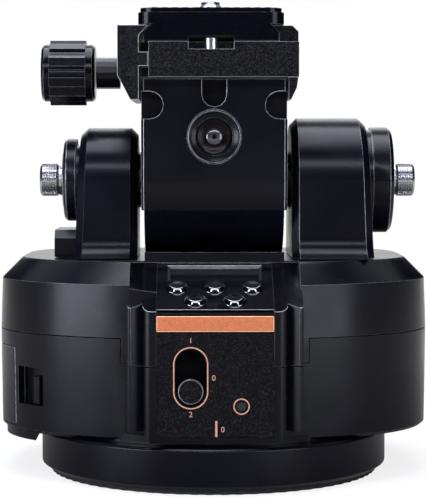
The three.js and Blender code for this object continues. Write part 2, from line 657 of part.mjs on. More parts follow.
function makeDeck() {
  const top = 0;
  const windowCut = prism('y', outline([
    [-display.halfWidth, -overrun], [display.halfWidth, -overrun],
    [display.halfWidth, -display.bevel], [display.halfWidth + display.bevel, top],
    [display.halfWidth + display.bevel, overrun], [-display.halfWidth - display.bevel, overrun],
    [-display.halfWidth - display.bevel, top], [-display.halfWidth, -display.bevel],
  ]), display.start, display.end);
  const holes = button.rows.flatMap(row => row.across.map(x =>
    rod('z', button.holeRadius, -overrun, overrun, [x, row.along], smallSides)));
  const cover = cut(box([-deck.coverHalfWidth, deck.coverHalfWidth], [deck.coverStart, deck.coverEnd],
    [-deck.coverThick, top]), windowCut, ...holes);
  place('deck_cover', deckFrame(cover), 'gloss');

  const paneTop = -deck.coverThick - fitGap;
  const paneBottom = paneTop - display.paneThick;
  const margin = display.paneMargin;
  place('display_window', deckFrame(box([-display.halfWidth - margin, display.halfWidth + margin],
    [display.start - margin / 2, display.end], [paneBottom, paneTop])), 'glass');

  const names = ['button_up', 'button_mode', 'button_power', 'button_left', 'button_right'];
  const places = button.rows.flatMap(row => row.across.map(x => [x, row.along]));
  const foot = -button.depth - button.stemLength;
  places.forEach((centre, i) => {
    place(names[i], deckFrame(turned('z', [
      [0, foot], [button.stemRadius, foot], [button.stemRadius, -button.depth], [button.radius,
        -button.depth],
      [button.radius, button.height / 2], [button.topRadius, button.height], [0, button.height],
    ], centre, smallSides)), 'gloss');
  });
  const boardTop = foot - button.travel - fitGap;
  place('button_board', deckFrame(box([-button.boardHalfWidth, button.boardHalfWidth],
    [button.rows[1].along - button.boardMargin, button.rows[0].along + button.boardMargin],
    [boardTop - button.boardThick, boardTop])), 'board');
}

// Front panel with its stripe, switch and lamp

function makePanel() {
  const front = -panelFront;
  const slot = prism('y', stadium(modeSwitch.x, modeSwitch.slotCentre, modeSwitch.slotHalfWidth,
    modeSwitch.slotHalfTravel), front - overrun, front + overrun);
  const lampHole = rod('y', lamp.radius + fitGap, front - overrun, front + overrun, [lamp.x, lamp.z],
    tinySides);
  const stripeCut = box([-panel.halfWidth - overrun, panel.halfWidth + overrun], [front - overrun,
    front + stripe.recess], [stripe.bottom - fitGap, stripe.top + fitGap]);
  const slab = box([-panel.halfWidth, panel.halfWidth], [front, front + panel.thick],
    [panel.bottom, deck.frontZ - seatGap]);
  place('decor_panel', cut(slab, slot, lampHole, stripeCut), 'panel');
  place('accent_stripe', box([-panel.halfWidth, panel.halfWidth], [front + stripe.recess - stripe.thick,
    front + stripe.recess - runGap], [stripe.bottom, stripe.top]), 'copper');

  const low = modeSwitch.slotCentre - modeSwitch.slotHalfTravel;
  const knobFront = front - modeSwitch.knobProud;
  const knobBack = knobFront + modeSwitch.knobDepth;
  const stemBack = knobBack + modeSwitch.stemLength;
  place('mode_slider', turned('y', [
    [0, knobFront], [modeSwitch.knobRadius, knobFront], [modeSwitch.knobRadius, knobBack],
    [modeSwitch.stemRadius, knobBack], [modeSwitch.stemRadius, stemBack], [0, stemBack],
  ], [modeSwitch.x, low], smallSides), 'gloss');
  const caseFront = stemBack + fitGap;
  place('mode_switch', box([modeSwitch.x - modeSwitch.caseWidth / 2, modeSwitch.x + modeSwitch.caseWidth / 2],
    [caseFront, caseFront + modeSwitch.caseDepth],
    [modeSwitch.slotCentre - modeSwitch.caseHeight / 2, modeSwitch.slotCentre + modeSwitch.caseHeight / 2]),
    'darkSteel');
  const flangeFront = front + panel.thick + fitGap;
  place('status_lens', turned('y', [
    [0, front - lamp.proud], [lamp.radius, front - lamp.proud], [lamp.radius, flangeFront],
    [lamp.flangeRadius, flangeFront], [lamp.flangeRadius, flangeFront + lamp.flangeThick],
    [0, flangeFront + lamp.flangeThick],
  ], [lamp.x, lamp.z], tinySides), 'glass');
  place('main_board', join(
    box([-mainBoard.halfWidth, mainBoard.halfWidth], [mainBoard.front, mainBoard.back],
      [mainBoard.z, mainBoard.z + mainBoard.thick]),
    box([-mainBoard.chipSize, mainBoard.chipSize], [-mainBoard.chipSize, mainBoard.chipSize],
      [mainBoard.z + mainBoard.thick, mainBoard.z + mainBoard.thick + mainBoard.chipHeight])), 'board');
}

// Yoke towers: an arch round the tilt axis on a flared foot

function towerProfile(tower) {
  const low = towerFoot - overrun;
  const half = tower.radius + tower.flare;
  const turnZ = towerFoot + tower.flare;
  return outline([
    [-half, low], [half, low],
    ...arc(half, turnZ, tower.flare, lowPoint / Math.PI, 1, filletSteps),
    ...arc(0, tilt.z, tower.radius, 0, 1, archSteps),
    ...arc(-half, turnZ, tower.flare, 0, -0.5, filletSteps),
  ]);
}

// Draft leans the outer side outwards, away from the tilt block, below the crest
function drafted(solid, inner, outer, crest) {
  return solid.warp(point => {
    const share = (point[0] - inner) / (outer - inner);
    point[0] += Math.sign(outer) * towerDraftShare * share * Math.max(crest - point[2], 0);
  });
}

function towerBody(tower) {
  const [from, to] = tower.inner < 0 ? [tower.outer, tower.inner] : [tower.inner, tower.outer];
  const raw = prism('x', towerProfile(tower), from, to, tower.bevel);
  const leaning = drafted(raw, tower.inner, tower.outer, tilt.z + tower.radius);
  return cut(leaning, box([-body.halfWidth, body.halfWidth], [-body.rearDepth, body.rearDepth],
    [0, towerFoot]));
}

function makeTowers() {
  const axis = [0, tilt.z];
  const left = leftTower;
  const leftEnd = left.outer - overrun;
  const wireHole = rod('z', tiltDrive.motorRadius - fitGap, towerFoot - overrun, tilt.z,
    [(left.inner + left.outer) / 2, 0], smallSides);
  const shoulder = prism('x', outline([
    [-shoulderBlock.halfDepth, towerFoot], [shoulderBlock.halfDepth, towerFoot],
    [shoulderBlock.halfDepth, shoulderBlock.top - shoulderBlock.bevel],
    [shoulderBlock.halfDepth - shoulderBlock.bevel, shoulderBlock.top],
    [-shoulderBlock.halfDepth + shoulderBlock.bevel, shoulderBlock.top],
    [-shoulderBlock.halfDepth, shoulderBlock.top - shoulderBlock.bevel],
  ]), shoulderBlock.outer, left.outer + left.bevel);
  place('left_tower', cut(join(towerBody(left), shoulder),
    rod('x', left.boreRadius + fitGap, leftEnd, left.inner - left.innerWall, axis),
    rod('x', left.hubBore, leftEnd, left.inner + overrun, axis),
    wireHole), 'shell');

  const right = rightTower;
  const rightEnd = right.outer + overrun;
  const half = tiltDrive.motorRadius + tiltDrive.clearance;
  const motorStart = right.inner + right.innerWall;
  const motorSpace = join(
    rod('x', half, motorStart, right.outer - fitGap, [0, tiltMotorZ], smallSides),
    box([motorStart, right.outer - fitGap], [-half, half], [towerFoot - overrun, tiltMotorZ]));
  place('right_tower', cut(towerBody(right),
    rod('x', right.boreRadius + fitGap, motorStart, rightEnd, axis),
    rod('x', right.gearBoreRadius, right.gearBoreStart, rightEnd, axis),
    rod('x', right.hubBore, right.inner - overrun, rightEnd, axis),
    motorSpace), 'shell');
}

// What turns in the towers: trunnions, bearings, caps and the bolts on the tilt axis

function outerFace(tower, cap) {
  return tower.outer + Math.sign(tower.outer) * towerDraftShare * (tower.radius + cap.radius);
}

function makeCap(name, cap, tower) {
  const side = Math.sign(cap.outer);
  const seat = outerFace(tower, cap) + side * seatGap;
  const bore = trunnion.radius + seatGap;
  const cup = cap.spigot - capSpigot.wall;
  const spigotEnd = seat - side * capSpigot.length;
  place(name, turned('x', [
    [bore, cap.outer + side * cap.bossHeight],
    [cap.bossRadius, cap.outer + side * cap.bossHeight],
    [cap.bossRadius, cap.outer],
    [cap.radius - cap.edge, cap.outer],
    [cap.radius, cap.outer - side * cap.edge],
    [cap.radius, seat],
    [cap.spigot, seat],
    [cap.spigot, spigotEnd],
    [cup, spigotEnd],
    [cup, cap.outer - side * cap.wall],
    [bore, cap.outer - side * cap.wall],
  ], [0, tilt.z]), 'shell');
}

function makeBolt(name, side, cap) {
  const axis = [0, tilt.z];
  const washerStart = cap.outer + side * (cap.bossHeight + seatGap);
  const washerEnd = washerStart + side * bolt.washerThick;
  const headStart = washerEnd + side * runGap;
  const headEnd = headStart + side * bolt.headLength;
  const hole = bolt.shankRadius + fitGap;
  place(`${name}_washer`, turned('x', [[hole, washerStart], [bolt.washerRadius, washerStart],
    [bolt.washerRadius, washerEnd], [hole, washerEnd]], axis, smallSides), 'steel');
  const knurl = [];
  for (let tooth = 0; tooth < 2 * bolt.knurlTeeth; tooth++) {
    const angle = Math.PI * tooth / bolt.knurlTeeth;
    const radius = bolt.headRadius - (tooth % 2) * bolt.knurlDepth;
    knurl.push([radius * Math.cos(angle), tilt.z + radius * Math.sin(angle)]);
  }
  const [from, to] = side < 0 ? [headEnd, headStart] : [headStart, headEnd];
  const dome = turned('x', [
    [0, headStart], [bolt.headRadius, headStart], [bolt.headRadius, headEnd - side * bolt.edge],
    [bolt.headRadius - bolt.edge, headEnd], [0, headEnd],
  ], axis, roundSides);
  const socket = rod('x', bolt.socketRadius, headEnd - side * bolt.socketDepth, headEnd + side * overrun,
    axis,
    hexSides);
  const shank = rod('x', bolt.shankRadius, headStart + side * bolt.edge, headStart - side * bolt.shankLength,
    axis, smallSides);
  const head = prism('x', outline(knurl), from, to).intersect(dome);
  place(`${name}_bolt`, cut(join(head, shank), socket), 'steel');
}

function makeTrunnion(name, side, inner, tower, cap) {
  const hubStart = block.x + side * (block.halfWidth + seatGap);
  const hubEnd = tower.inner + side * trunnion.collarEnd;
  const end = cap.outer + side * (cap.bossHeight - runGap);
  const boreStart = end - side * trunnion.boreDepth;
  place(name, turned('x', [
    [0, inner], [trunnion.radius, inner], [trunnion.radius, hubStart], [trunnion.collarRadius, hubStart],
    [trunnion.collarRadius, hubEnd], [trunnion.radius, hubEnd], [trunnion.radius, end],
    [trunnion.boreRadius, end], [trunnion.boreRadius, boreStart], [0, boreStart],
  ], [0, tilt.z], smallSides), 'darkSteel');
}

function makeTiltAxle() {
  makeCap('left_cap', leftCap, leftTower);
  makeCap('right_cap', rightCap, rightTower);
  makeBolt('left', -1, leftCap);
  makeBolt('right', 1, rightCap);
  makeTrunnion('left_trunnion', -1, trunnion.leftInner, leftTower, leftCap);
  makeTrunnion('right_trunnion', 1, trunnion.rightInner, rightTower, rightCap);

  const axis = [0, tilt.z];
  const bore = (trunnion.radius + runGap) / Math.cos(Math.PI / smallSides);
  const leftSeat = leftTower.inner - leftTower.innerWall - fitGap;
  const rightSeat = rightTower.inner + rightTower.innerWall + fitGap;
  place('left_bearing', bearing('x', bore, leftTower.boreRadius, leftSeat, leftSeat - tiltBearing.width,
    tiltBearing.race, -tiltBearing.bearingGroove, axis, smallSides), 'steel');
  place('right_bearing', bearing('x', bore, rightTower.boreRadius, rightSeat, rightSeat + tiltBearing.width,
    tiltBearing.race, tiltBearing.bearingGroove, axis, smallSides), 'steel');

  const gearStart = rightTower.gearBoreStart + seatGap;
  const wheelBore = trunnion.radius + fitGap;
  const wheel = prism('x', gearShape(tiltGear.teeth, tiltGear.toothModule, wheelBore), gearStart,
    gearStart + tiltGear.width, 0, boreSteps).translate([0, 0, tilt.z]);
  place('tilt_gear', wheel, 'acetal');
  const centre = [0, tiltMotorZ];
  const pinionTurn = meshAngle(-90, tiltGear.teeth, tiltGear.pinionTeeth);
  const pinionBore = tiltDrive.axleRadius + fitGap;
  place('tilt_pinion', prism('x', gearShape(tiltGear.pinionTeeth, tiltGear.toothModule, pinionBore),
    gearStart + seatGap, gearStart + seatGap + tiltGear.pinionWidth, 0, boreSteps).rotate([pinionTurn, 0, 0])
    .translate([0, ...centre]), 'brass');
  const motorStart = rightTower.inner + rightTower.innerWall + seatGap;
  const boxEnd = motorStart + tiltDrive.length;
  const axleEnd = gearStart + seatGap + tiltGear.pinionWidth;
  place('tilt_gearmotor', turned('x', [
    [0, motorStart], [tiltDrive.motorRadius, motorStart], [tiltDrive.motorRadius, boxEnd],
    [tiltDrive.axleRadius, boxEnd], [tiltDrive.axleRadius, axleEnd], [0, axleEnd],
  ], centre, smallSides), 'motor');
}

// Tilt block: a front and a rear cover that meet on the tilt axis

function blockProfile(shrink) {
  const radius = block.radius - shrink;
  return outline([
    [radius, block.top - shrink], [-radius, block.top - shrink], ...arc(0, tilt.z, radius, 1, 2, archSteps),
  ]);
}

function makeTiltBlock() {
  const [left, right] = [block.x - block.halfWidth, block.x + block.halfWidth];
  const lowTop = tilt.z - block.radius * Math.sin(Math.PI * block.lowStart / archSteps);
  const sideSteps = [-1, 1].map(side => box(
    side < 0 ? [left - overrun, block.x - block.lowHalfWidth] : [block.x + block.lowHalfWidth,
      right + overrun],
    [-block.radius - overrun, block.radius + overrun], [0, lowTop]));
  const whole = cut(prism('x', blockProfile(0), left, right, block.edge), ...sideSteps);
  const hollow = prism('x', blockProfile(block.wall), left + block.wall, right - block.wall);
  const axle = rod('x', trunnion.radius + fitGap, left - overrun, right + overrun, [0, tilt.z]);
  const front = -block.radius;
  const slotShape = new THREE.Shape();
  const slotTurn = block.slotBottom + block.slotHalfWidth;
  slotShape.moveTo(block.slotHalfWidth, block.top + overrun);
  slotShape.lineTo(-block.slotHalfWidth, block.top + overrun);
  slotShape.absarc(0, slotTurn, block.slotHalfWidth, Math.PI, 2 * Math.PI, false);
  const slotFront = front - overrun;
  const slotCut = prism('y', slotShape, slotFront, front + block.slotDepth);
  const slotBack = prism('y', slotShape, slotFront, front + block.slotDepth + block.wall)
    .intersect(box([-overrun, overrun], [front, 0], [block.slotBottom - block.wall, block.top]));
  const recessHeight = (block.sideRecessTop - block.sideRecessBottom) / 2;
  const recessZ = block.sideRecessBottom + recessHeight;
  const sideCuts = [[left, 1], [right, -1]].map(([x, side]) => {
    const turnX = x + side * (block.sideRecessReach - recessHeight);
    const bar = side > 0 ? [x - overrun, turnX] : [turnX, x + overrun];
    return join(
      box(bar, [front - overrun, front + block.sideRecessDepth], [block.sideRecessBottom,
        block.sideRecessTop]),
      rod('y', recessHeight, front - overrun, front + block.sideRecessDepth, [turnX, recessZ], smallSides));
  });
  const backing = box([left + block.edge, right - block.edge], [front + block.edge,
    front + block.sideRecessDepth + block.wall], [block.sideRecessBottom - block.wall,
      block.top - block.edge]);
  const lensHole = rod('y', lens.bezelRadius + fitGap, front - overrun, front + lens.bezelDepth + overrun,
    [block.x, lens.z]);
  const frontHalf = box([left - overrun, right + overrun], [front - overrun, -block.splitGap / 2],
    [0, block.top + overrun]);
  const rearHalf = box([left - overrun, right + overrun], [block.splitGap / 2, block.radius + overrun],
    [0, block.top + overrun]);
  const shell = cut(whole, hollow, axle);
  const boltHole = rod('z', clamp.boltRadius + fitGap, block.top - overrun, block.top + overrun, [block.x, 0],
    smallSides);
  place('tilt_front_cover', cut(join(shell, backing.intersect(whole), slotBack).intersect(frontHalf),
    slotCut, ...sideCuts, lensHole, axle, boltHole), 'shell');
  place('tilt_rear_cover', cut(shell.intersect(rearHalf), boltHole), 'shell');

  const centre = [block.x, lens.z];
  const bezelFront = front - lens.bezelProud;
  const bezelBack = front + lens.bezelDepth;
  const glassFront = front + lens.glassSet;
  const glassBack = glassFront + lens.glassThick;
  place('lens_bezel', turned('y', [
    [lens.bezelMouth, bezelFront], [lens.bezelRadius, bezelFront], [lens.bezelRadius, bezelBack],
    [lens.bezelBore, bezelBack], [lens.bezelBore, front],
  ], centre), 'gloss');
  place('lens_glass', rod('y', lens.bezelBore - fitGap, glassFront, glassBack, centre, smallSides), 'glass');
  const barrelFront = glassBack + fitGap;
  const barrelBack = barrelFront + lens.barrelLength;
  place('camera_module', join(
    rod('y', lens.barrelRadius, barrelFront, barrelBack, centre, smallSides),
    box([block.x - lens.boardHalf, block.x + lens.boardHalf], [barrelBack - runGap,
      barrelBack + lens.boardThick],
      [lens.z - lens.boardHalf, lens.z + lens.boardHalf])), 'board');
}

// Clamp with its fixed jaw, moving jaw, screw and knob

const guidePinNames = [['guide_pin_front', -1], ['guide_pin_rear', 1]];

function makeClamp() {
  const depth = clamp.halfDepth;
  const profile = outline([
    [clamp.left, clamp.bottom], [clamp.skirtInner, clamp.bottom], [clamp.skirtInner, clamp.skirtBottom],
    [clamp.skirtInner + clamp.edge, clamp.skirtBottom], [clamp.skirtOuter, clamp.skirtWaist],
    [clamp.right, clamp.bottom], [clamp.right, clamp.jawTop - clamp.jawCorner],
    [clamp.right - clamp.jawCorner, clamp.jawTop], [clamp.jawTip, clamp.jawTop],
    [clamp.jawInner, clamp.jawFoot], [clamp.jawInner, clamp.top], [clamp.left, clamp.top],
  ]);
  const frontPlate = box([clamp.left, clamp.right], [-depth, -depth + clamp.frontThick],
    [clamp.bottom, clamp.top]);
  const tongueSlot = box([clamp.webLeft - overrun, clamp.left], [-depth - overrun, depth + overrun],
    [jaw.tongueBottom - clamp.tongueGap, jaw.tongueTop + clamp.tongueGap]);
  const web = cut(box([clamp.webLeft, clamp.left + overrun], [-clamp.webFront, depth], [clamp.bottom,
    clamp.top]),
    tongueSlot);
  const bar = join(prism('y', profile, -depth + clamp.frontThick, depth), frontPlate, web);
  const notch = box([plate.x - clamp.notchHalfWidth, plate.x + clamp.notchHalfWidth],
    [-depth - overrun, -depth + clamp.notchReach], [clamp.top - clamp.notchDepth, clamp.top + overrun]);
  const screwBore = rod('x', clampScrew.radius + fitGap, clamp.left - overrun, clampScrew.tip + seatGap,
    [0, clamp.screwZ], smallSides);
  const pinBores = [-1, 1].map(side => rod('x', guidePin.radius + fitGap, clamp.left - overrun,
    guidePin.tip + seatGap, [side * guidePin.y, guidePin.z], tinySides));
  const boltCentre = [block.x, 0];
  const boltHole = join(
    rod('z', clamp.boltRadius + fitGap, clamp.bottom - overrun, clamp.top + overrun, boltCentre, smallSides),
    rod('z', clamp.boltHeadRadius + fitGap, clamp.top - clamp.boltHeadHeight - fitGap, clamp.top + overrun,
      boltCentre, smallSides));
  const pinHole = join(
    rod('z', stopPin.shankRadius + fitGap, stopPin.bottom - fitGap, clamp.top + overrun,
      [stopPin.x, stopPin.y], smallSides),
    rod('z', stopPin.radius + fitGap, clamp.top - clamp.notchDepth, clamp.top + overrun,
      [stopPin.x, stopPin.y], smallSides));
  place('clamp_body', cut(bar, notch, screwBore, pinHole, boltHole, ...pinBores), 'anodised');

  const headTop = clamp.top - fitGap;
  const headBottom = clamp.top - clamp.boltHeadHeight;
  place('clamp_bolt', turned('z', [
    [0, headBottom - clamp.boltLength], [clamp.boltRadius, headBottom - clamp.boltLength],
    [clamp.boltRadius, headBottom], [clamp.boltHeadRadius, headBottom], [clamp.boltHeadRadius, headTop],
    [0, headTop],
  ], boltCentre, smallSides), 'steel');

  const jawShape = outline([
    [jaw.inner, jaw.bottom], [jaw.inner, jaw.tongueBottom], [jaw.tongueTip, jaw.tongueBottom],
    [jaw.tongueTip, jaw.tongueTop], [jaw.inner, jaw.tongueTop], [jaw.inner, jaw.foot], [jaw.tip, jaw.top],
    [jaw.outer, jaw.top], [jaw.outer, jaw.bevelTop], [jaw.bevelInner, jaw.bottom],
  ]);
  const jawHoles = [
    rod('x', clampScrew.radius + fitGap, jaw.outer - overrun, jaw.tip + overrun, [0, clamp.screwZ],
      smallSides),
  ];
  const pinStart = jaw.outer - jaw.inner;
  const pinHoles = [-1, 1].map(side => rod('x', guidePin.radius + runGap, jaw.inner + pinStart / 2,
    jaw.tip + overrun, [side * guidePin.y, guidePin.z], tinySides));
  place('moving_jaw', cut(prism('y', jawShape, -depth, depth), ...jawHoles, ...pinHoles), 'anodised');
  for (const [name, side] of guidePinNames) {
    place(name, rod('x', guidePin.radius, jaw.inner + pinStart / 2 + fitGap, guidePin.tip,
      [side * guidePin.y, guidePin.z], tinySides), 'steel');
  }

  const barrelEnd = jaw.outer - fitGap;
  place('clamp_screw', turned('x', [
    [0, knob.inner + seatGap], [clampScrew.barrelRadius, knob.inner + seatGap],
    [clampScrew.barrelRadius, barrelEnd], [clampScrew.radius, barrelEnd],
    [clampScrew.radius, clampScrew.tip], [0, clampScrew.tip],
  ], [0, clamp.screwZ], smallSides), 'anodised');
  makeKnob();
}

function makeKnob() {
  const axis = [0, clamp.screwZ];
  const grip = [];
  for (let rib = 0; rib < knob.ribs; rib++) {
    for (const [radius, share] of [[knob.grooveRadius, 0], [knob.gripRadius, 1 - knob.ribShare],
      [knob.gripRadius, knob.ribShare], [knob.grooveRadius, 1 - 0.5 * (1 - knob.ribShare)]]) {
      const angle = 2 * Math.PI * (rib + share) / knob.ribs;
      grip.push([radius * Math.cos(angle), clamp.screwZ + radius * Math.sin(angle)]);
    }
  }
  const core = turned('x', [
    [0, knob.outer], [knob.flangeRadius - knob.edge, knob.outer], [knob.flangeRadius, knob.outer + knob.edge],
    [knob.flangeRadius, knob.inner - knob.edge], [knob.flangeRadius - knob.edge, knob.inner], [0, knob.inner],
  ], axis);
  place('clamp_knob', join(core, prism('x', outline(grip), knob.gripStart, knob.gripEnd)), 'anodised');
}

// Quick-release plate with its pads and camera screw

function makePlate() {
  const slab = roundedBlock('z', [plate.x - plate.halfWidth, plate.x + plate.halfWidth],
    [-plate.halfDepth, plate.halfDepth], plate.slabBottom, plate.top - plate.topEdge, plate.cornerRadius);
  const cap = roundedBlock('z', [plate.x - plate.halfWidth + plate.topEdge / 2,
    plate.x + plate.halfWidth - plate.topEdge / 2], [-plate.halfDepth + plate.topEdge / 2,
    plate.halfDepth - plate.topEdge / 2], plate.top - plate.topEdge, plate.top, plate.cornerRadius);
  const dovetail = prism('y', outline([
    [plate.x - plate.dovetailHalf, plate.bottom], [plate.x + plate.dovetailHalf, plate.bottom],
    [plate.x + plate.dovetailHalf, plate.dovetailFoot], [plate.x + plate.dovetailNeckHalf, plate.slabBottom],
    [plate.x - plate.dovetailNeckHalf, plate.slabBottom], [plate.x - plate.dovetailHalf, plate.dovetailFoot],
  ]), -plate.halfDepth, plate.halfDepth);
  const slot = radius => prism('z', stadium(plate.x, 0, radius, plate.slotHalfLength),
    plate.bottom - overrun, plate.top + overrun);
  const counter = prism('z', stadium(plate.x, 0, plate.counterRadius, plate.slotHalfLength),
    plate.bottom - overrun, plate.bottom + plate.counterDepth);
  const recess = cut(
    box([plate.x - pad.halfWidth - fitGap, plate.x + pad.halfWidth + fitGap],
      [-pad.halfDepth - fitGap, pad.halfDepth + fitGap], [plate.top - pad.recess, plate.top + overrun]),
    slot(pad.slotRadius - fitGap));
  const pinRelief = box([stopPin.x - clamp.notchHalfWidth, stopPin.x + clamp.notchHalfWidth],
    [-plate.halfDepth - overrun, -plate.halfDepth + clamp.notchReach + overrun / 2],
    [plate.bottom - overrun, stopPin.top + seatGap]);
  place('quick_plate', cut(join(slab, cap, dovetail), slot(plate.slotRadius), counter, pinRelief, recess),
    'anodised');

  const padBottom = plate.top - pad.recess + runGap;
  const pitch = 2 * pad.halfWidth / pad.ribs;
  const ribs = Array.from({ length: pad.ribs }, (_, i) => {
    const left = plate.x - pad.halfWidth + i * pitch;
    return box([left + pad.ribGap / 2, left + pitch - pad.ribGap / 2], [-pad.halfDepth, pad.halfDepth],
      [padBottom, plate.top + pad.proud]);
  });
  const padBase = box([plate.x - pad.halfWidth, plate.x + pad.halfWidth], [-pad.halfDepth, pad.halfDepth],
    [padBottom, padBottom + pad.base]);
  place('plate_pad', cut(join(padBase, ...ribs), slot(pad.slotRadius)), 'rubber');

  const headTop = plate.bottom + plate.counterDepth - fitGap;
  const headBottom = headTop - cameraScrew.headHeight;
  const screw = turned('z', [
    [0, headBottom], [cameraScrew.headRadius, headBottom], [cameraScrew.headRadius, headTop],
    [cameraScrew.radius, headTop], [cameraScrew.radius, cameraScrew.tip - cameraScrew.tipEdge],
    [cameraScrew.radius - cameraScrew.tipEdge, cameraScrew.tip], [0, cameraScrew.tip],
  ], [plate.x, cameraScrew.y], smallSides);
  const driverSlot = box([plate.x - cameraScrew.headRadius - overrun,
    plate.x + cameraScrew.headRadius + overrun],
    [-cameraScrew.slotWidth / 2, cameraScrew.slotWidth / 2],
    [headBottom - overrun, headBottom + cameraScrew.slotDepth]);
  place('camera_screw', cut(screw, driverSlot), 'steel');

  const pinSeat = clamp.top - clamp.notchDepth + runGap;
  place('stop_pin', turned('z', [
    [0, stopPin.bottom], [stopPin.shankRadius, stopPin.bottom], [stopPin.shankRadius, pinSeat],
    [stopPin.radius, pinSeat], [stopPin.radius, stopPin.top], [0, stopPin.top],
  ], [stopPin.x, stopPin.y], smallSides), 'steel');
}

makePanBase();
makePanDrive();
makeShells();
makeBattery();
makeDeck();
makePanel();
makeTowers();
makeTiltAxle();
makeTiltBlock();
makeClamp();
makePlate();

export default group;
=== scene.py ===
"""Looks of the motorised pan tilt head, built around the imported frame.

+Z is up, -Y faces the camera, and X runs along the tilt axis. The camera, the lamps and the surroundings
are given in metres. The measures of the pieces are in mm, and are multiplied by MM where they are used.
"""

import json
import math

import bpy
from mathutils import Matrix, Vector


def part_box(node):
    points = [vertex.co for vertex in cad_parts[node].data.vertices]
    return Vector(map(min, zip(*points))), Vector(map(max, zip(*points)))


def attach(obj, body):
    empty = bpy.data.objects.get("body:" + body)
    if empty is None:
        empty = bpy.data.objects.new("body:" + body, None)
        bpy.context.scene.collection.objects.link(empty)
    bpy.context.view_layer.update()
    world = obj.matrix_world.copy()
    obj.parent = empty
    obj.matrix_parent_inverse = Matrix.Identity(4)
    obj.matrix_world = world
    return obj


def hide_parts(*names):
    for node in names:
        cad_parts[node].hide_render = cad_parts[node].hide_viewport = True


MM = 0.001
TINY = 1e-6

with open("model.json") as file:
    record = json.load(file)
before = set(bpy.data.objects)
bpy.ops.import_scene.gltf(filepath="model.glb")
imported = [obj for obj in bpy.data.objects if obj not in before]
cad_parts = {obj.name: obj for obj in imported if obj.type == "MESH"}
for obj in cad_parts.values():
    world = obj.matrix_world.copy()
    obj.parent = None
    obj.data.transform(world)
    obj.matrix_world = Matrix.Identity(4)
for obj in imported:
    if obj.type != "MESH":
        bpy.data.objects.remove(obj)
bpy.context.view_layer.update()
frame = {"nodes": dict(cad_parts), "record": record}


# Picture: the photograph's frame and the place it was taken from

PHOTO_HEIGHT = 500
PIXEL_FOCAL = 1870.7
SENSOR = 36
HORIZON_ROW = 144.9
CAMERA_DISTANCE = 0.5211
CAMERA_HEIGHT = 0.0898
CAMERA_TURN = math.radians(-0.6)
CLIP_SHARE = 0.02


def add_camera():
    """The camera stands a little left of the middle and looks slightly down."""
    data = bpy.data.cameras.new("photo_camera")
    camera = bpy.data.objects.new("photo_camera", data)
    bpy.context.scene.collection.objects.link(camera)
    data.sensor_width = SENSOR
    data.lens = PIXEL_FOCAL / PHOTO_HEIGHT * SENSOR
    data.clip_start = CAMERA_DISTANCE * CLIP_SHARE
    pitch = math.atan2(PHOTO_HEIGHT / 2 - HORIZON_ROW, PIXEL_FOCAL)
    side = CAMERA_DISTANCE * math.tan(CAMERA_TURN)
    camera.location = (side, -CAMERA_DISTANCE, CAMERA_HEIGHT)
    camera.rotation_euler = (math.pi / 2 - pitch, 0, CAMERA_TURN)
    bpy.context.scene.camera = camera


# Lamps, in metres and watts: each is a box that lights from its place towards its aim

COOL_WHITE = (0.85, 0.88, 1.0)
MIDDLE = (0, 0, 0.07)
WALLS = (0, 0, 0.05)
LAMPS = (
    {"name": "top_box", "place": (-0.05, 0.02, 0.75), "size": (0.64, 0.48), "power": 8.5},
    {"name": "left_box", "place": (-0.36, -0.24, 0.10), "size": (0.23, 0.20), "power": 1.6, "aim": WALLS},
    {"name": "right_box", "place": (0.27, -0.29, 0.10), "size": (0.20, 0.20), "power": 0.75, "aim": WALLS},
    {"name": "spark_strip", "place": (-0.02, -0.60, 0.44), "size": (0.90, 0.06), "power": 3.0},
    {"name": "rear_box", "place": (0, 0.8, 0.45), "size": (0.8, 0.4), "power": 1.5},
    {"name": "left_wing", "place": (-0.55, 0.40, 0.74), "size": (0.36, 0.36), "power": 0.38},
    {"name": "right_wing", "place": (0.55, 0.40, 0.74), "size": (0.36, 0.36), "power": 0.38},
)


def add_lamp(name, place, size, power, aim=MIDDLE):
    """A soft box that the camera doesn't see."""
    data = bpy.data.lights.new(name, "AREA")
    data.shape = "RECTANGLE"
    data.size, data.size_y = size
    data.energy = power
    data.color = COOL_WHITE
    lamp = bpy.data.objects.new(name, data)
    bpy.context.scene.collection.objects.link(lamp)
    lamp.location = place
    lamp.visible_camera = False
    lamp.rotation_euler = (Vector(aim) - Vector(place)).to_track_quat("-Z", "Y").to_euler()


# Surroundings: a white world and floor, and dark surfaces that only show in reflections

FILL_COLOR = (0.8, 0.82, 0.86, 1)
FILL_STRENGTH = 0.2
WHITE = (1, 1, 1, 1)
FLOOR_SIDES = 96
FLOOR_RADIUS = 6.0
FLOOR_COLOR = (0.86, 0.86, 0.87, 1)
FLOOR_GLOW = {"From Min": 0.06, "From Max": 0.20, "To Min": 0.8, "To Max": 1.0}
DARK = (0.01, 0.01, 0.01, 1)
SCREEN_SIDES = 72
SCREEN_RADIUS = 1.4
SCREEN_HEIGHT = 1.8
SCREEN_MIDDLE = 0.7
SCREEN_OPENING = math.radians(17)
SCREEN_TOP_FACING = 0.5
CARD_HEIGHT = 0.0002
CARD_RADIUS = 0.34
CARD_FADE = {"From Min": 0.07, "From Max": CARD_RADIUS, "To Min": 0.75, "To Max": 0.0}


def add_node(tree, kind, span=None, **values):
    """A new node of that kind, with its inputs set by name."""
    node = tree.nodes.new(kind)
    for name, value in (span or values).items():
        node.inputs[name].default_value = value
    return node


def math_node(tree, operation, first, second):
    """The outcome of one sum on two linked numbers."""
    node = tree.nodes.new("ShaderNodeMath")
    node.operation = operation
    tree.links.new(first, node.inputs[0])
    tree.links.new(second, node.inputs[1])
    return node.outputs[0]


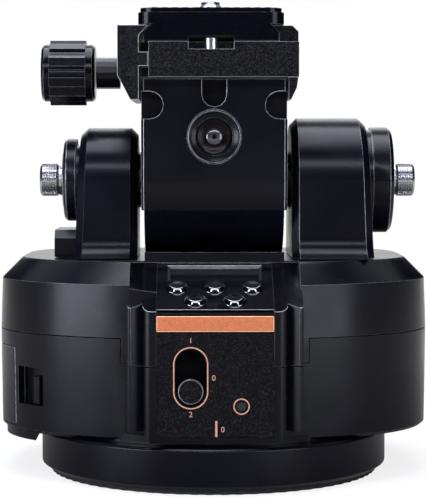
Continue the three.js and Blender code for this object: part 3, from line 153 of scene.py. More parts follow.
def mixed(tree, share, first, second, surface):
    """Mixes two shaders by share and links the mix to the surface socket."""
    mix = tree.nodes.new("ShaderNodeMixShader")
    tree.links.new(share, mix.inputs[0])
    tree.links.new(first.outputs[0], mix.inputs[1])
    tree.links.new(second.outputs[0], mix.inputs[2])
    tree.links.new(mix.outputs[0], surface)


def faded(tree, fade):
    """A number that changes with the distance from the pan axis as fade says."""
    distance = tree.nodes.new("ShaderNodeVectorMath")
    distance.operation = "LENGTH"
    tree.links.new(tree.nodes.new("ShaderNodeTexCoord").outputs["Object"], distance.inputs[0])
    node = add_node(tree, "ShaderNodeMapRange", fade)
    tree.links.new(distance.outputs["Value"], node.inputs["Value"])
    return node.outputs[0]


def seen_background(tree):
    """1 for rays from the camera and for mirror and glass rays, 0 for the rest."""
    path = tree.nodes.new("ShaderNodeLightPath")
    mirrored = math_node(tree, "MAXIMUM", path.outputs["Is Camera Ray"], path.outputs["Is Glossy Ray"])
    return math_node(tree, "MAXIMUM", mirrored, path.outputs["Is Transmission Ray"])


def add_world():
    """White where it is seen, and a dim fill light on the object."""
    world = bpy.data.worlds.new("studio")
    bpy.context.scene.world = world
    world.use_nodes = True
    tree = world.node_tree
    tree.nodes.clear()
    fill = add_node(tree, "ShaderNodeBackground", Color=FILL_COLOR, Strength=FILL_STRENGTH)
    white = add_node(tree, "ShaderNodeBackground", Color=WHITE, Strength=1.0)
    out = tree.nodes.new("ShaderNodeOutputWorld")
    mixed(tree, seen_background(tree), fill, white, out.inputs["Surface"])


def plain_material(name, color, roughness, specular):
    """A material of one colour, with its nodes ready to be added to."""
    material = bpy.data.materials.new(name)
    material.use_nodes = True
    shader = material.node_tree.nodes["Principled BSDF"]
    shader.inputs["Base Color"].default_value = color
    shader.inputs["Roughness"].default_value = roughness
    shader.inputs["Specular IOR Level"].default_value = specular
    return material


def add_disc(name, sides, radius, height, material):
    """A flat disc round the pan axis."""
    bpy.ops.mesh.primitive_circle_add(vertices=sides, radius=radius, fill_type="NGON",
                                      location=(0, 0, height))
    disc = bpy.context.object
    disc.name = name
    bpy.ops.object.transform_apply(location=True, rotation=False, scale=False)
    disc.data.materials.append(material)
    return disc


def add_floor():
    """A wide white floor that keeps the object's shadow."""
    material = plain_material("floor_white", FLOOR_COLOR, roughness=0.9, specular=0.1)
    tree = material.node_tree
    glow = add_node(tree, "ShaderNodeEmission", Color=WHITE)
    share = math_node(tree, "MULTIPLY", seen_background(tree), faded(tree, FLOOR_GLOW))
    surface = tree.nodes["Material Output"].inputs["Surface"]
    mixed(tree, share, tree.nodes["Principled BSDF"], glow, surface)
    add_disc("floor", FLOOR_SIDES, FLOOR_RADIUS, 0, material)


def show_in_reflections_only(piece):
    """The piece isn't seen, lights nothing and throws no shadow, but mirrors show it."""
    piece.visible_camera = False
    piece.visible_diffuse = False
    piece.visible_shadow = False
    piece.visible_transmission = False


def add_dark_screen():
    """A round dark tent over the object, open below and behind."""
    bpy.ops.mesh.primitive_cylinder_add(vertices=SCREEN_SIDES, radius=SCREEN_RADIUS, depth=SCREEN_HEIGHT,
                                        end_fill_type="TRIFAN", location=(0, 0, SCREEN_MIDDLE))
    screen = bpy.context.object
    screen.name = "dark_screen"
    bpy.ops.object.transform_apply(location=True, rotation=False, scale=False)
    pick_faces(screen, lambda centre, normal: normal.z < -SCREEN_TOP_FACING
               or normal.z < SCREEN_TOP_FACING
               and centre.y > abs(centre.x) / math.tan(SCREEN_OPENING))
    bpy.ops.mesh.delete(type="FACE")
    bpy.ops.object.mode_set(mode="OBJECT")
    screen.data.materials.append(plain_material("screen_black", DARK, roughness=1.0, specular=0.0))
    show_in_reflections_only(screen)


def add_dark_card():
    """A dark card that fades outwards, flat on the floor round the foot: painted shade on the floor, seen
    only in reflections.
    """
    material = plain_material("card_black", DARK, roughness=1.0, specular=0.0)
    tree = material.node_tree
    clear = tree.nodes.new("ShaderNodeBsdfTransparent")
    surface = tree.nodes["Material Output"].inputs["Surface"]
    mixed(tree, faded(tree, CARD_FADE), clear, tree.nodes["Principled BSDF"], surface)
    show_in_reflections_only(add_disc("dark_card", SCREEN_SIDES, CARD_RADIUS, CARD_HEIGHT, material))


# Finishes

class Finish:
    """A material and the few node links that every finish needs."""

    def __init__(self, name, color, roughness, metallic=0.0, specular=0.5):
        """Starts from one plain colour, roughness and gloss."""
        self.material = bpy.data.materials.new(name)
        self.material.use_nodes = True
        self.tree = self.material.node_tree
        self.shader = self.tree.nodes["Principled BSDF"]
        self.set("Base Color", (*color, 1))
        self.set("Roughness", roughness)
        self.set("Metallic", metallic)
        self.set("Specular IOR Level", specular)
        self.coords = self.tree.nodes.new("ShaderNodeTexCoord").outputs["Object"]

    def set(self, socket, value):
        """Sets a value that is the same all over the surface."""
        self.shader.inputs[socket].default_value = value

    def noise(self, grain, detail=2.0):
        """Noise with grains of about that size in metres."""
        node = add_node(self.tree, "ShaderNodeTexNoise", Scale=1 / grain, Detail=detail)
        self.tree.links.new(self.coords, node.inputs["Vector"])
        return node.outputs[0]

    def flecks(self, grain):
        """A different grey for each small cell."""
        node = add_node(self.tree, "ShaderNodeTexVoronoi", Scale=1 / grain)
        self.tree.links.new(self.coords, node.inputs["Vector"])
        return node.outputs["Color"]

    def vary_color(self, source, low, high, start=0.3, end=0.7):
        """The colour goes from low to high as source goes from start to end."""
        node = self.tree.nodes.new("ShaderNodeValToRGB")
        for element, place, color in zip(node.color_ramp.elements, (start, end), (low, high)):
            element.position = place
            element.color = (*color, 1)
        self.tree.links.new(source, node.inputs[0])
        self.tree.links.new(node.outputs[0], self.shader.inputs["Base Color"])

    def vary_roughness(self, source, low, high, start=0.3, end=0.7):
        """The roughness goes from low to high as source goes from start to end."""
        span = {"From Min": start, "From Max": end, "To Min": low, "To Max": high}
        node = add_node(self.tree, "ShaderNodeMapRange", span)
        self.tree.links.new(source, node.inputs["Value"])
        self.tree.links.new(node.outputs[0], self.shader.inputs["Roughness"])

    def bump(self, source, height, strength=1.0):
        """Raises the surface by up to height, in metres, where source is high."""
        node = add_node(self.tree, "ShaderNodeBump", Distance=height, Strength=strength)
        self.tree.links.new(source, node.inputs["Height"])
        self.tree.links.new(node.outputs[0], self.shader.inputs["Normal"])


def satin_black(name="satin_black"):
    """Moulded black plastic with a fine spark-eroded grain and a cool sheen."""
    f = Finish(name, (0.0015, 0.0015, 0.0035), 0.27, specular=0.16)
    f.vary_roughness(f.noise(12 * MM), 0.24, 0.31)
    f.vary_color(f.noise(25 * MM), (0.0010, 0.0010, 0.0026), (0.0020, 0.0020, 0.0044))
    f.bump(f.noise(0.35 * MM, 3.0), 0.004 * MM, 0.4)
    return f.material


def gloss_black(name="gloss_black"):
    """Polished black plastic with faint handling marks."""
    f = Finish(name, (0.0015, 0.0015, 0.0028), 0.08, specular=0.7)
    f.vary_roughness(f.noise(3 * MM, 4.0), 0.06, 0.11)
    f.bump(f.noise(9 * MM), 0.01 * MM, 0.3)
    return f.material


def button_gloss(name="button_gloss"):
    """The buttons' brighter polish."""
    f = Finish(name, (0.002, 0.002, 0.003), 0.07, specular=1.0)
    f.set("Coat Weight", 1.0)
    f.set("Coat IOR", 2.0)
    f.set("Coat Roughness", 0.06)
    f.vary_roughness(f.noise(2 * MM, 3.0), 0.05, 0.09)
    return f.material


def basin_gloss(name="basin_gloss"):
    """The smooth black of the sloping basin round the deck's cover."""
    f = Finish(name, (0.0012, 0.0012, 0.0024), 0.11, specular=0.2)
    f.vary_roughness(f.noise(4 * MM, 3.0), 0.09, 0.14)
    f.bump(f.noise(9 * MM), 0.01 * MM, 0.3)
    return f.material


def blasted_black(name="blasted_black"):
    """Bead blasted and black anodised aluminium, with fine faint grains."""
    f = Finish(name, (0.004, 0.004, 0.005), 0.34, specular=0.075)
    f.vary_color(f.flecks(0.15 * MM), (0.0012, 0.0012, 0.0018), (0.075, 0.075, 0.082), 0.66, 1.0)
    f.vary_roughness(f.noise(0.5 * MM), 0.27, 0.40)
    f.bump(f.noise(0.22 * MM, 3.0), 0.012 * MM, 0.6)
    return f.material


def smooth_black(name="smooth_black"):
    """Smooth black anodised aluminium of the plate, the clamp's knob and its screw."""
    f = Finish(name, (0.0012, 0.0012, 0.0026), 0.20, specular=0.16)
    f.vary_roughness(f.noise(0.6 * MM, 3.0), 0.16, 0.25)
    f.bump(f.noise(0.3 * MM, 2.0), 0.004 * MM, 0.5)
    return f.material


def recess_black(name="recess_black"):
    """Dull black of what lies inside the switch's slot."""
    f = Finish(name, (0.001, 0.001, 0.0015), 0.6, specular=0.05)
    f.vary_roughness(f.noise(1 * MM), 0.5, 0.7)
    f.bump(f.noise(0.4 * MM), 0.01 * MM, 0.4)
    return f.material


def lens_black(name="lens_black"):
    """Fine turned black of the lens ring."""
    f = Finish(name, (0.003, 0.003, 0.004), 0.24, specular=0.2)
    f.vary_roughness(f.noise(0.5 * MM, 3.0), 0.18, 0.32)
    f.bump(f.noise(0.25 * MM, 2.0), 0.008 * MM, 0.6)
    return f.material


def bare_edge_and_highlight(name="bare_edge_and_highlight"):
    """Pale line along the edges: bare metal where the anodised edge is cut, and a painted highlight where
    edges catch the lamps, on the plastic ones too.
    """
    f = Finish(name, (0.7, 0.7, 0.73), 0.38)
    f.vary_color(f.noise(0.8 * MM, 4.0), (0.48, 0.48, 0.51), (0.95, 0.95, 1.0))
    f.bump(f.noise(0.4 * MM), 0.01 * MM, 0.4)
    return f.material


def painted_edge_highlight(name="painted_edge_highlight", low=(0.035, 0.035, 0.042), high=(0.13, 0.13, 0.145)):
    """A painted highlight: a lighter, glossier line along an edge of the black plastic."""
    f = Finish(name, low, 0.24, specular=0.6)
    f.vary_color(f.noise(1.5 * MM, 4.0), low, high)
    f.bump(f.noise(0.5 * MM), 0.006 * MM, 0.4)
    return f.material


def sparkle_black(name="sparkle_black"):
    """Black panel paint with fine mica flecks."""
    f = Finish(name, (0.003, 0.003, 0.004), 0.42, specular=0.09)
    f.vary_color(f.flecks(0.16 * MM), (0.0012, 0.0012, 0.002), (0.040, 0.037, 0.042), 0.68, 1.0)
    f.vary_roughness(f.noise(0.4 * MM), 0.34, 0.50)
    f.bump(f.noise(0.22 * MM, 2.0), 0.012 * MM, 0.5)
    return f.material


def copper_foil(name="copper_foil"):
    """Copper orange metallic foil with a fine sand grain."""
    f = Finish(name, (0.42, 0.12, 0.043), 0.42, metallic=0.25)
    f.vary_color(f.flecks(0.25 * MM), (0.35, 0.092, 0.031), (0.49, 0.155, 0.056), 0.1, 0.9)
    f.bump(f.noise(0.3 * MM), 0.02 * MM, 0.5)
    return f.material


def copper_edge_highlight(name="copper_edge_highlight"):
    """A painted highlight: the lighter line along the foil's raised edge."""
    f = Finish(name, (0.80, 0.42, 0.24), 0.35, metallic=0.2)
    f.vary_color(f.noise(1 * MM), (0.70, 0.34, 0.18), (0.90, 0.52, 0.32))
    return f.material


def rose_print(name="rose_print"):
    """Rose gold screen print."""
    f = Finish(name, (0.50, 0.24, 0.16), 0.38, metallic=0.3)
    f.vary_color(f.noise(0.5 * MM), (0.38, 0.17, 0.10), (0.60, 0.31, 0.22))
    return f.material


def turned_steel(name="turned_steel", color=(0.42, 0.42, 0.44), roughness=0.22):
    """Turned or plated steel with a fine uneven polish."""
    f = Finish(name, color, roughness, metallic=1.0)
    f.vary_roughness(f.noise(0.25 * MM, 3.0), roughness * 0.7, roughness * 1.6)
    f.bump(f.noise(0.2 * MM, 2.0), 0.008 * MM, 0.5)
    return f.material


def brass_turned(name="brass_turned"):
    """Turned brass of the tripod bush and the two pinions."""
    f = Finish(name, (0.60, 0.42, 0.14), 0.28, metallic=1.0)
    f.vary_roughness(f.noise(0.4 * MM, 3.0), 0.2, 0.42)
    f.bump(f.noise(0.25 * MM), 0.01 * MM, 0.5)
    return f.material


def matt_rubber(name="matt_rubber"):
    """Matt black rubber of the mat and the pad."""
    f = Finish(name, (0.010, 0.010, 0.010), 0.8, specular=0.3)
    f.vary_color(f.noise(2 * MM, 4.0), (0.007, 0.007, 0.007), (0.016, 0.016, 0.016))
    f.bump(f.noise(0.4 * MM, 3.0), 0.03 * MM, 0.7)
    return f.material


def white_acetal(name="white_acetal"):
    """Natural white plastic of the two large gears."""
    f = Finish(name, (0.74, 0.72, 0.66), 0.45)
    f.vary_color(f.noise(4 * MM), (0.70, 0.68, 0.62), (0.78, 0.76, 0.70))
    f.bump(f.noise(0.5 * MM), 0.01 * MM, 0.4)
    return f.material


def green_board(name="green_board"):
    """Circuit board with its parts as faint patches."""
    f = Finish(name, (0.003, 0.022, 0.010), 0.35)
    f.vary_color(f.flecks(1.6 * MM), (0.002, 0.015, 0.007), (0.004, 0.03, 0.014), 0.3, 0.8)
    f.bump(f.flecks(1.6 * MM), 0.02 * MM, 0.5)
    return f.material


def battery_sleeve(name="battery_sleeve"):
    """Dark blue shrink sleeve of the battery."""
    f = Finish(name, (0.01, 0.03, 0.07), 0.4, specular=0.3)
    f.vary_roughness(f.noise(5 * MM, 3.0), 0.32, 0.5)
    f.bump(f.noise(6 * MM), 0.05 * MM, 0.5)
    return f.material


def dark_glass(name="dark_glass"):
    """Smooth dark plastic of the display's window and the lamp's lens."""
    f = Finish(name, (0.004, 0.0045, 0.006), 0.05, specular=0.6)
    f.vary_roughness(f.noise(6 * MM, 3.0), 0.03, 0.10)
    return f.material


def baffle_black(name="baffle_black"):
    """The lens's dark bowl, with a faint violet tone."""
    f = Finish(name, (0.0016, 0.0010, 0.0018), 0.22, specular=0.10)
    f.vary_color(f.noise(5 * MM), (0.0008, 0.0010, 0.0014), (0.0040, 0.0016, 0.0030))
    f.bump(f.noise(0.5 * MM), 0.004 * MM, 0.3)
    return f.material


def lens_core(name="lens_core"):
    """The small middle lens, grey with a faint violet coating."""
    f = Finish(name, (0.022, 0.021, 0.024), 0.12, specular=0.6)
    f.set("Coat Weight", 0.4)
    f.set("Coat Roughness", 0.03)
    f.vary_color(f.noise(1 * MM), (0.016, 0.015, 0.018), (0.034, 0.032, 0.037))
    return f.material


FINISH = {
    "shell": satin_black(),
    "panel": sparkle_black(),
    "copper": copper_foil(),
    "gloss": gloss_black(),
    "anodised": blasted_black(),
    "steel": turned_steel(),
    "darkSteel": turned_steel("dark_steel", (0.05, 0.05, 0.055), 0.3),
    "brass": brass_turned(),
    "rubber": matt_rubber(),
    "acetal": white_acetal(),
    "board": green_board(),
    "glass": dark_glass(),
    "battery": battery_sleeve(),
    "motor": turned_steel("motor_can", (0.45, 0.45, 0.47), 0.3),
}
# Pale edge colour: bare metal on cut anodised edges, and a painted highlight along the other edges.
EDGE = bare_edge_and_highlight()
# Lighter edge colour that paints a highlight along the plastic edges.
EDGE_HIGHLIGHT = painted_edge_highlight()
# Lighter copper that paints a highlight along the foil's edge.
COPPER_EDGE_HIGHLIGHT = copper_edge_highlight()
SMOOTH = smooth_black()
BUTTON_GLOSS = button_gloss()
BASIN_GLOSS = basin_gloss()
# Lighter colour that paints a highlight on the deck cover's bevel above the display.
BEVEL_HIGHLIGHT = painted_edge_highlight("bevel_highlight", (0.11, 0.11, 0.12), (0.20, 0.20, 0.215))
PRINT = rose_print()
OWN_FINISH = {
    "quick_plate": SMOOTH,
    "clamp_knob": SMOOTH,
    "clamp_screw": SMOOTH,
    "mode_switch": recess_black(),
    "left_trunnion": FINISH["shell"],
    "right_trunnion": FINISH["shell"],
}
SLOT_OF = {s["node"]: s["material_slot"] for s in frame["record"]["subparts"]}
BODY_OF = {
    node: body
    for body, nodes in frame["record"]["behaviour"]["bodies"].items()
    for node in nodes
}


def paint_frame():
    """Every CAD node gets its own finish, or its slot's."""
    for node, piece in frame["nodes"].items():
        piece.data.materials.clear()
        piece.data.materials.append(OWN_FINISH.get(node, FINISH[SLOT_OF[node]]))


# Working on pieces

FACING_FRONT = (math.pi / 2, 0, 0)
CORNER_SEGMENTS = 2
CORNER_ANGLE = math.radians(28)
FLAT_ANGLE = math.radians(0.3)
FLAT_WEIGHT = 90


def deselect():
    """Nothing stays selected, so that the next primitive stands alone."""
    bpy.ops.object.select_all(action="DESELECT")


def select_only(piece):
    """The piece alone is selected and active."""
    deselect()
    piece.select_set(True)
    bpy.context.view_layer.objects.active = piece


def apply_modifiers(piece):
    """Turns the piece's modifiers into its mesh."""
    select_only(piece)
    for modifier in list(piece.modifiers):
        bpy.ops.object.modifier_apply(modifier=modifier.name)


def smooth(piece, angle=32):
    """Rounded faces look round and flat faces stay flat."""
    select_only(piece)
    bpy.ops.object.shade_smooth_by_angle(angle=math.radians(angle))
    flat = piece.modifiers.new("flat_faces", "WEIGHTED_NORMAL")
    flat.keep_sharp = True
    flat.weight = FLAT_WEIGHT
    apply_modifiers(piece)


def copied(source):
    """A copy with a mesh of its own."""
    piece = source.copy()
    piece.data = source.data.copy()
    piece.parent = None
    bpy.context.scene.collection.objects.link(piece)
    return piece


def softened(node, width, edge=None):
    """A copy of a CAD node with its corners rounded off, which stands for the node."""
    piece = copied(frame["nodes"][node])
    piece.name = f"{node}_finished"
    select_only(piece)
    bpy.ops.object.mode_set(mode="EDIT")
    bpy.ops.mesh.select_all(action="SELECT")
    bpy.ops.mesh.remove_doubles(threshold=TINY)
    bpy.ops.mesh.dissolve_limited(angle_limit=FLAT_ANGLE)
    bpy.ops.object.mode_set(mode="OBJECT")
    # The edge colour on the bevel faces is a painted highlight.
    if edge:
        piece.data.materials.append(edge)
    bevel = piece.modifiers.new("corners", "BEVEL")
    bevel.width = width * MM
    bevel.segments = CORNER_SEGMENTS
    bevel.limit_method = "ANGLE"
    bevel.angle_limit = CORNER_ANGLE
    bevel.miter_outer = "MITER_ARC"
    bevel.material = 1 if edge else -1
    apply_modifiers(piece)
    smooth(piece)
    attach(piece, BODY_OF[node])
    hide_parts(node)


def finished(node):
    """The softened copy that stands for a CAD node."""
    return bpy.data.objects[f"{node}_finished"]


def settle(piece, place, turn=(0, 0, 0)):
    """Moves a finished piece to its place and leaves its object at the origin."""
    piece.rotation_euler = turn
    piece.location = place
    select_only(piece)
    bpy.ops.object.transform_apply(location=True, rotation=True, scale=True)


def dress(piece, name, material, slot, body, *nodes):
    """Names a settled piece, gives it its finish and ties it to its body."""
    piece.name = name
    piece.data.materials.clear()
    piece.data.materials.append(material)
    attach(piece, body)
    if nodes:
        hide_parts(*nodes)


def finish_faces(piece, material, rule):
    """Gives the faces that fit the rule another finish."""
    piece.data.materials.append(material)
    slot = len(piece.data.materials) - 1
    for face in piece.data.polygons:
        if rule(face):
            face.material_index = slot


def off_axis(face, middle):
    """How far a face's centre lies from the line through middle that points forwards, in mm."""
    return math.hypot(face.center.x - middle.x, face.center.z - middle.z) / MM


def close_edit():
    """Turns all faces outwards and leaves edit mode."""
    bpy.ops.mesh.select_all(action="SELECT")
    bpy.ops.mesh.normals_make_consistent(inside=False)
    bpy.ops.object.mode_set(mode="OBJECT")


def turned(profile, sides=48):
    """A closed turned piece about Z that goes through (radius, height) pairs in mm."""
    deselect()
    radius, height = profile[0]
    bpy.ops.mesh.primitive_circle_add(vertices=sides, radius=radius * MM, fill_type="NGON",
                                      location=(0, 0, height * MM))
    piece = bpy.context.object
    bpy.ops.object.transform_apply(location=True, rotation=False, scale=False)
    bpy.ops.object.mode_set(mode="EDIT")
    bpy.ops.mesh.select_all(action="SELECT")
    for next_radius, next_height in profile[1:]:
        bpy.ops.mesh.extrude_region_move(
            TRANSFORM_OT_translate={"value": (0, 0, (next_height - height) * MM)})
        factor = next_radius / radius
        bpy.ops.transform.resize(value=(factor, factor, 1), center_override=(0, 0, next_height * MM))
        radius, height = next_radius, next_height
    close_edit()
    return piece


def turned_ring(profile, sides=48):
    """A turned ring about Z whose closed section goes through (radius, height) pairs in mm."""
    piece = turned(profile, sides)
    pick_faces(piece, lambda centre, normal: centre.xy.length < TINY)
    bpy.ops.mesh.delete(type="ONLY_FACE")
    bpy.ops.mesh.select_mode(type="EDGE")
    bpy.ops.mesh.select_all(action="DESELECT")
    bpy.ops.mesh.select_non_manifold()
    bpy.ops.mesh.bridge_edge_loops()
    close_edit()
    return piece


def pick_points(piece, rule):
    """Selects the points whose place fits the rule, in edit mode."""
    select_only(piece)
    bpy.ops.object.mode_set(mode="EDIT")
    bpy.ops.mesh.select_mode(type="VERT")
    bpy.ops.mesh.select_all(action="DESELECT")
    bpy.ops.object.mode_set(mode="OBJECT")
    for point in piece.data.vertices:
        point.select = rule(point.co)
    bpy.ops.object.mode_set(mode="EDIT")


def pick_faces(piece, rule):
    """Selects the faces whose centre and direction fit the rule, in edit mode."""
    select_only(piece)
    bpy.ops.object.mode_set(mode="EDIT")
    bpy.ops.mesh.select_mode(type="FACE")
    bpy.ops.mesh.select_all(action="DESELECT")
    bpy.ops.object.mode_set(mode="OBJECT")
    for face in piece.data.polygons:
        face.select = rule(face.center, face.normal)
    bpy.ops.object.mode_set(mode="EDIT")


def pressed_in(piece, rule, margin, depth):
    """Insets each picked face on its own and sinks it by depth, both in mm."""
    pick_faces(piece, rule)
    bpy.ops.mesh.inset(thickness=margin * MM, depth=-depth * MM, use_individual=True)
    bpy.ops.object.mode_set(mode="OBJECT")


def cut_away(piece, cutter):
    """Takes the cutter's shape out of the piece and removes the cutter."""
    hole = piece.modifiers.new("hole", "BOOLEAN")
    hole.operation = "DIFFERENCE"
    hole.solver = "EXACT"
    hole.object = cutter
    apply_modifiers(piece)
    bpy.data.objects.remove(cutter)


def slot_cutter(place, size, turn=0):
    """A block to cut a slot with, turned about Z."""
    deselect()
    bpy.ops.mesh.primitive_cube_add(size=1, location=place, rotation=(0, 0, turn))
    cutter = bpy.context.object
    cutter.scale = size
    return cutter


def middle_of(node):
    """The middle of a CAD node's box."""
    low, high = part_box(node)
    return Vector([(a + b) / 2 for a, b in zip(low, high)])


# Bolts on the tilt axis

BOLT_RADIUS = 4.5
BOLT_LENGTH = 5.2
BOLT_EDGE = 0.6
BOLT_BANDS = 6
BOLT_SIDES = 44
BOLT_SIDE_FACING = 0.1
KNURL_MARGIN = 0.07
KNURL_DEPTH = 0.16
SOCKET_RADIUS = 2.3
SOCKET_DEPTH = 2.6
SHANK_RADIUS = 2.3


def knurled_bolt(side):
    """A cap bolt with a cross knurled head and a hexagon socket."""
    node = f"{side}_bolt"
    low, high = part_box(node)
    length = (high[0] - low[0]) / MM
    head = length - BOLT_LENGTH
    step = (BOLT_LENGTH - 2 * BOLT_EDGE) / BOLT_BANDS
    rim = BOLT_RADIUS - BOLT_EDGE
    profile = [(SHANK_RADIUS, 0), (SHANK_RADIUS, head), (rim, head)]
    profile += [(BOLT_RADIUS, head + BOLT_EDGE + step * band) for band in range(BOLT_BANDS + 1)]
    profile += [(rim, length), (BOLT_RADIUS / 2, length)]
    piece = turned(profile, BOLT_SIDES)
    pressed_in(piece, lambda centre, normal: abs(normal.z) < BOLT_SIDE_FACING
               and (head + BOLT_EDGE) * MM < centre.z < (length - BOLT_EDGE) * MM,
               KNURL_MARGIN, KNURL_DEPTH)
    deselect()
    bpy.ops.mesh.primitive_cylinder_add(vertices=6, radius=SOCKET_RADIUS * MM,
                                        depth=2 * SOCKET_DEPTH * MM, location=(0, 0, length * MM))
    cut_away(piece, bpy.context.object)
    smooth(piece, 20)
    middle = middle_of(node)
    outward = 1 if side == "right" else -1
    start = low[0] if side == "right" else high[0]
    settle(piece, (start, middle.y, middle.z), (0, outward * math.pi / 2, 0))
    dress(piece, f"{side}_knurled_bolt", FINISH["steel"], "steel", BODY_OF[node], node)


# Control deck

BUTTON_SIDES = 40
BUTTON_PROFILE = [
    (2.55, -0.9), (2.55, -0.3), (2.95, -0.3), (2.95, 0.1), (2.88, 0.2), (2.55, 0.52), (2.25, 0.86),
    (2.1, 1.0), (1.96, 1.08), (1.76, 1.10), (1.4, 1.07), (0.84, 1.02), (0.3, 1.0),
]
BRIGHT_FRONT = 0.6
BRIGHT_BACK = 2.4
BEVEL_HIGHLIGHT_FACING = -0.7
BASIN_HALF_WIDTH = 22.4
BASIN_BELOW = 2.5
BASIN_BEYOND = 3
BASIN_FACING = 0.05
LIP_REACH = 1.5


def press_slope():
    """The slope of the deck, from the direction in which its buttons go."""
    press = next(j for j in frame["record"]["behaviour"]["joints"] if j["name"] == "button_up_press")
    return math.atan2(press["axis"][1], -press["axis"][2])


def domed_button(node):
    """A gloss button with a bevelled rim and a dished top, square to the deck."""
    piece = turned(BUTTON_PROFILE, BUTTON_SIDES)
    smooth(piece, 50)
    slope = press_slope()
    low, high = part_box(node)
    settle(piece, (0, 0, 0), (slope, 0, 0))
    own_low = min(v.co.y for v in piece.data.vertices)
    own_top = max(v.co.z for v in piece.data.vertices)
    settle(piece, (middle_of(node).x, low[1] - own_low, high[2] - own_top))
    dress(piece, f"{node}_dome", BUTTON_GLOSS, "gloss", BODY_OF[node], node)


def finish_deck_cover():
    """Painted highlights: bright edges at the front and the back of the cover, and a pale bevel above the
    display.
    """
    piece = finished("deck_cover")
    low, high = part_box("deck_cover")
    front = low[1] + BRIGHT_FRONT * MM
    back = high[1] - BRIGHT_BACK * MM
    # Only the front and back bevels keep the pale edge colour, a painted highlight.
    for face in piece.data.polygons:
        if front < face.center.y < back:
            face.material_index = 0
    # Painted highlight on the bevel above the display.
    finish_faces(piece, BEVEL_HIGHLIGHT, lambda face: face.material_index == 0
                 and face.center.y >= back and face.normal.y < BEVEL_HIGHLIGHT_FACING)


def finish_basin():
    """The shell is polished in the basin round the deck's cover, and its front lip has a painted highlight
    along its edge.
    """
    piece = finished("upper_shell")
    low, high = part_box("deck_cover")

    def in_basin(face):
        """The face lies round the deck's cover and not far below it."""
        return (abs(face.center.x) < BASIN_HALF_WIDTH * MM and face.center.y < high[1] + BASIN_BEYOND * MM
                and face.center.z > low[2] - BASIN_BELOW * MM)

    finish_faces(piece, BASIN_GLOSS, lambda face: face.material_index == 0
                 and in_basin(face) and face.normal.z > BASIN_FACING)
    # The lip's bevel keeps the pale edge colour, a painted highlight.
    finish_faces(piece, EDGE, lambda face: face.material_index == 1
                 and in_basin(face) and face.center.y < low[1] + LIP_REACH * MM)


# Side caps

PARTING_WIDTH = 0.16
PARTING_DEPTH = 0.35


def parting_line(node):
    """The fine line at mid height where the two halves of a side cap meet."""
    piece = finished(node)
    low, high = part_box(node)
    middle = middle_of(node)
    size = (2 * (high[0] - low[0]), 2 * PARTING_DEPTH * MM, PARTING_WIDTH * MM)
    for face in (low[1], high[1]):
        cut_away(piece, slot_cutter((middle.x, face, middle.z), size))


# Camera lens in the front of the tilting block

LENS_SIDES = 64
LENS_RING = [
    (4.9, 0), (7.2, 0), (7.2, 3.25), (7.14, 3.45), (7.0, 3.6), (6.8, 3.68), (6.6, 3.66), (6.45, 3.55),
    (6.3, 3.3), (5.35, 2.85), (5.25, 2.95), (5.05, 3.0), (4.92, 2.9), (4.88, 2.6), (4.88, 0.3),
]
LENS_BOWL = [
    (4.84, 0.55), (4.84, 2.05), (4.7, 2.12), (4.5, 2.1), (3.9, 1.86), (3.3, 1.66), (2.7, 1.52),
    (2.25, 1.46), (2.2, 1.6), (2.1, 1.7), (1.7, 1.86), (1.2, 1.98), (0.75, 2.03), (0.62, 2.03),
    (0.56, 1.9), (0.2, 1.88),
]
LENS_RIM = (6.75, 7.12)
LENS_RIM_FACING = -0.5
LENS_CORE = (0.6, 2.15)


def lens_piece(node, piece, name, slot, material):
    """Sets a turned piece of the lens on its seat, looking forwards."""
    smooth(piece, 40)
    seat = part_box("lens_bezel")[1][1]
    middle = middle_of("lens_bezel")
    settle(piece, (middle.x, seat, middle.z), FACING_FRONT)
    dress(piece, name, material, slot, BODY_OF[node], node)


def add_lens():
    """The lens's ring with a painted highlight on its rim, and its dark bowl with a small pale lens in the
    middle.
    """
    middle = middle_of("lens_bezel")
    ring = turned_ring(LENS_RING, LENS_SIDES)
    lens_piece("lens_bezel", ring, "lens_ring", "gloss", lens_black())
    # Painted highlight on the ring's rim.
    finish_faces(ring, EDGE_HIGHLIGHT, lambda face: face.normal.y < LENS_RIM_FACING
                 and LENS_RIM[0] < off_axis(face, middle) < LENS_RIM[1])
    bowl = turned(LENS_BOWL, LENS_SIDES)
    lens_piece("lens_glass", bowl, "lens_bowl", "glass", baffle_black())
    finish_faces(bowl, lens_core(), lambda face: LENS_CORE[0] < off_axis(face, middle) < LENS_CORE[1])


# Front panel: the rose gold print and the mode switch's knob

PRINT_THICK = 0.03
PRINT_LINE = 0.32
PRINT_SIDES = 48
NUMBER_SIZE = 2.0
SLOT_RING = {"radius": 4.5, "travel": 3.5}
LAMP_RING_RADIUS = 2.1
INDEX_LINE = {"x": 0.24, "bottom": 15.2, "top": 19.3, "width": 0.55}
NUMBERS = (("1", (-6.3, 39.9)), ("0", (-0.4, 30.3)), ("2", (-6.3, 20.9)), ("0", (1.9, 17.0)))
SLIDER_PROFILE = [
    (1.4, 0), (1.4, 2.6), (3.22, 2.6), (3.3, 2.68), (3.3, 4.05), (3.24, 4.2), (3.12, 4.28), (3.0, 4.3),
    (2.9, 4.26), (2.84, 4.14), (2.6, 4.12), (0.4, 4.12),
]
SLIDER_RIM = 2.95
SLIDER_RIM_FACING = -0.2


def print_finish(piece, name):
    """The print's finish, on the panel's body."""
    dress(piece, name, PRINT, "copper", BODY_OF["decor_panel"])


def panel_face():
    """How far forwards the panel's face lies."""
    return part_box("decor_panel")[0][1]


def raise_print():
    """Gives the flat face in edit mode the print's thickness."""
    bpy.ops.mesh.select_all(action="SELECT")
    bpy.ops.mesh.extrude_region_move(TRANSFORM_OT_translate={"value": (0, 0, PRINT_THICK * MM)})
    close_edit()


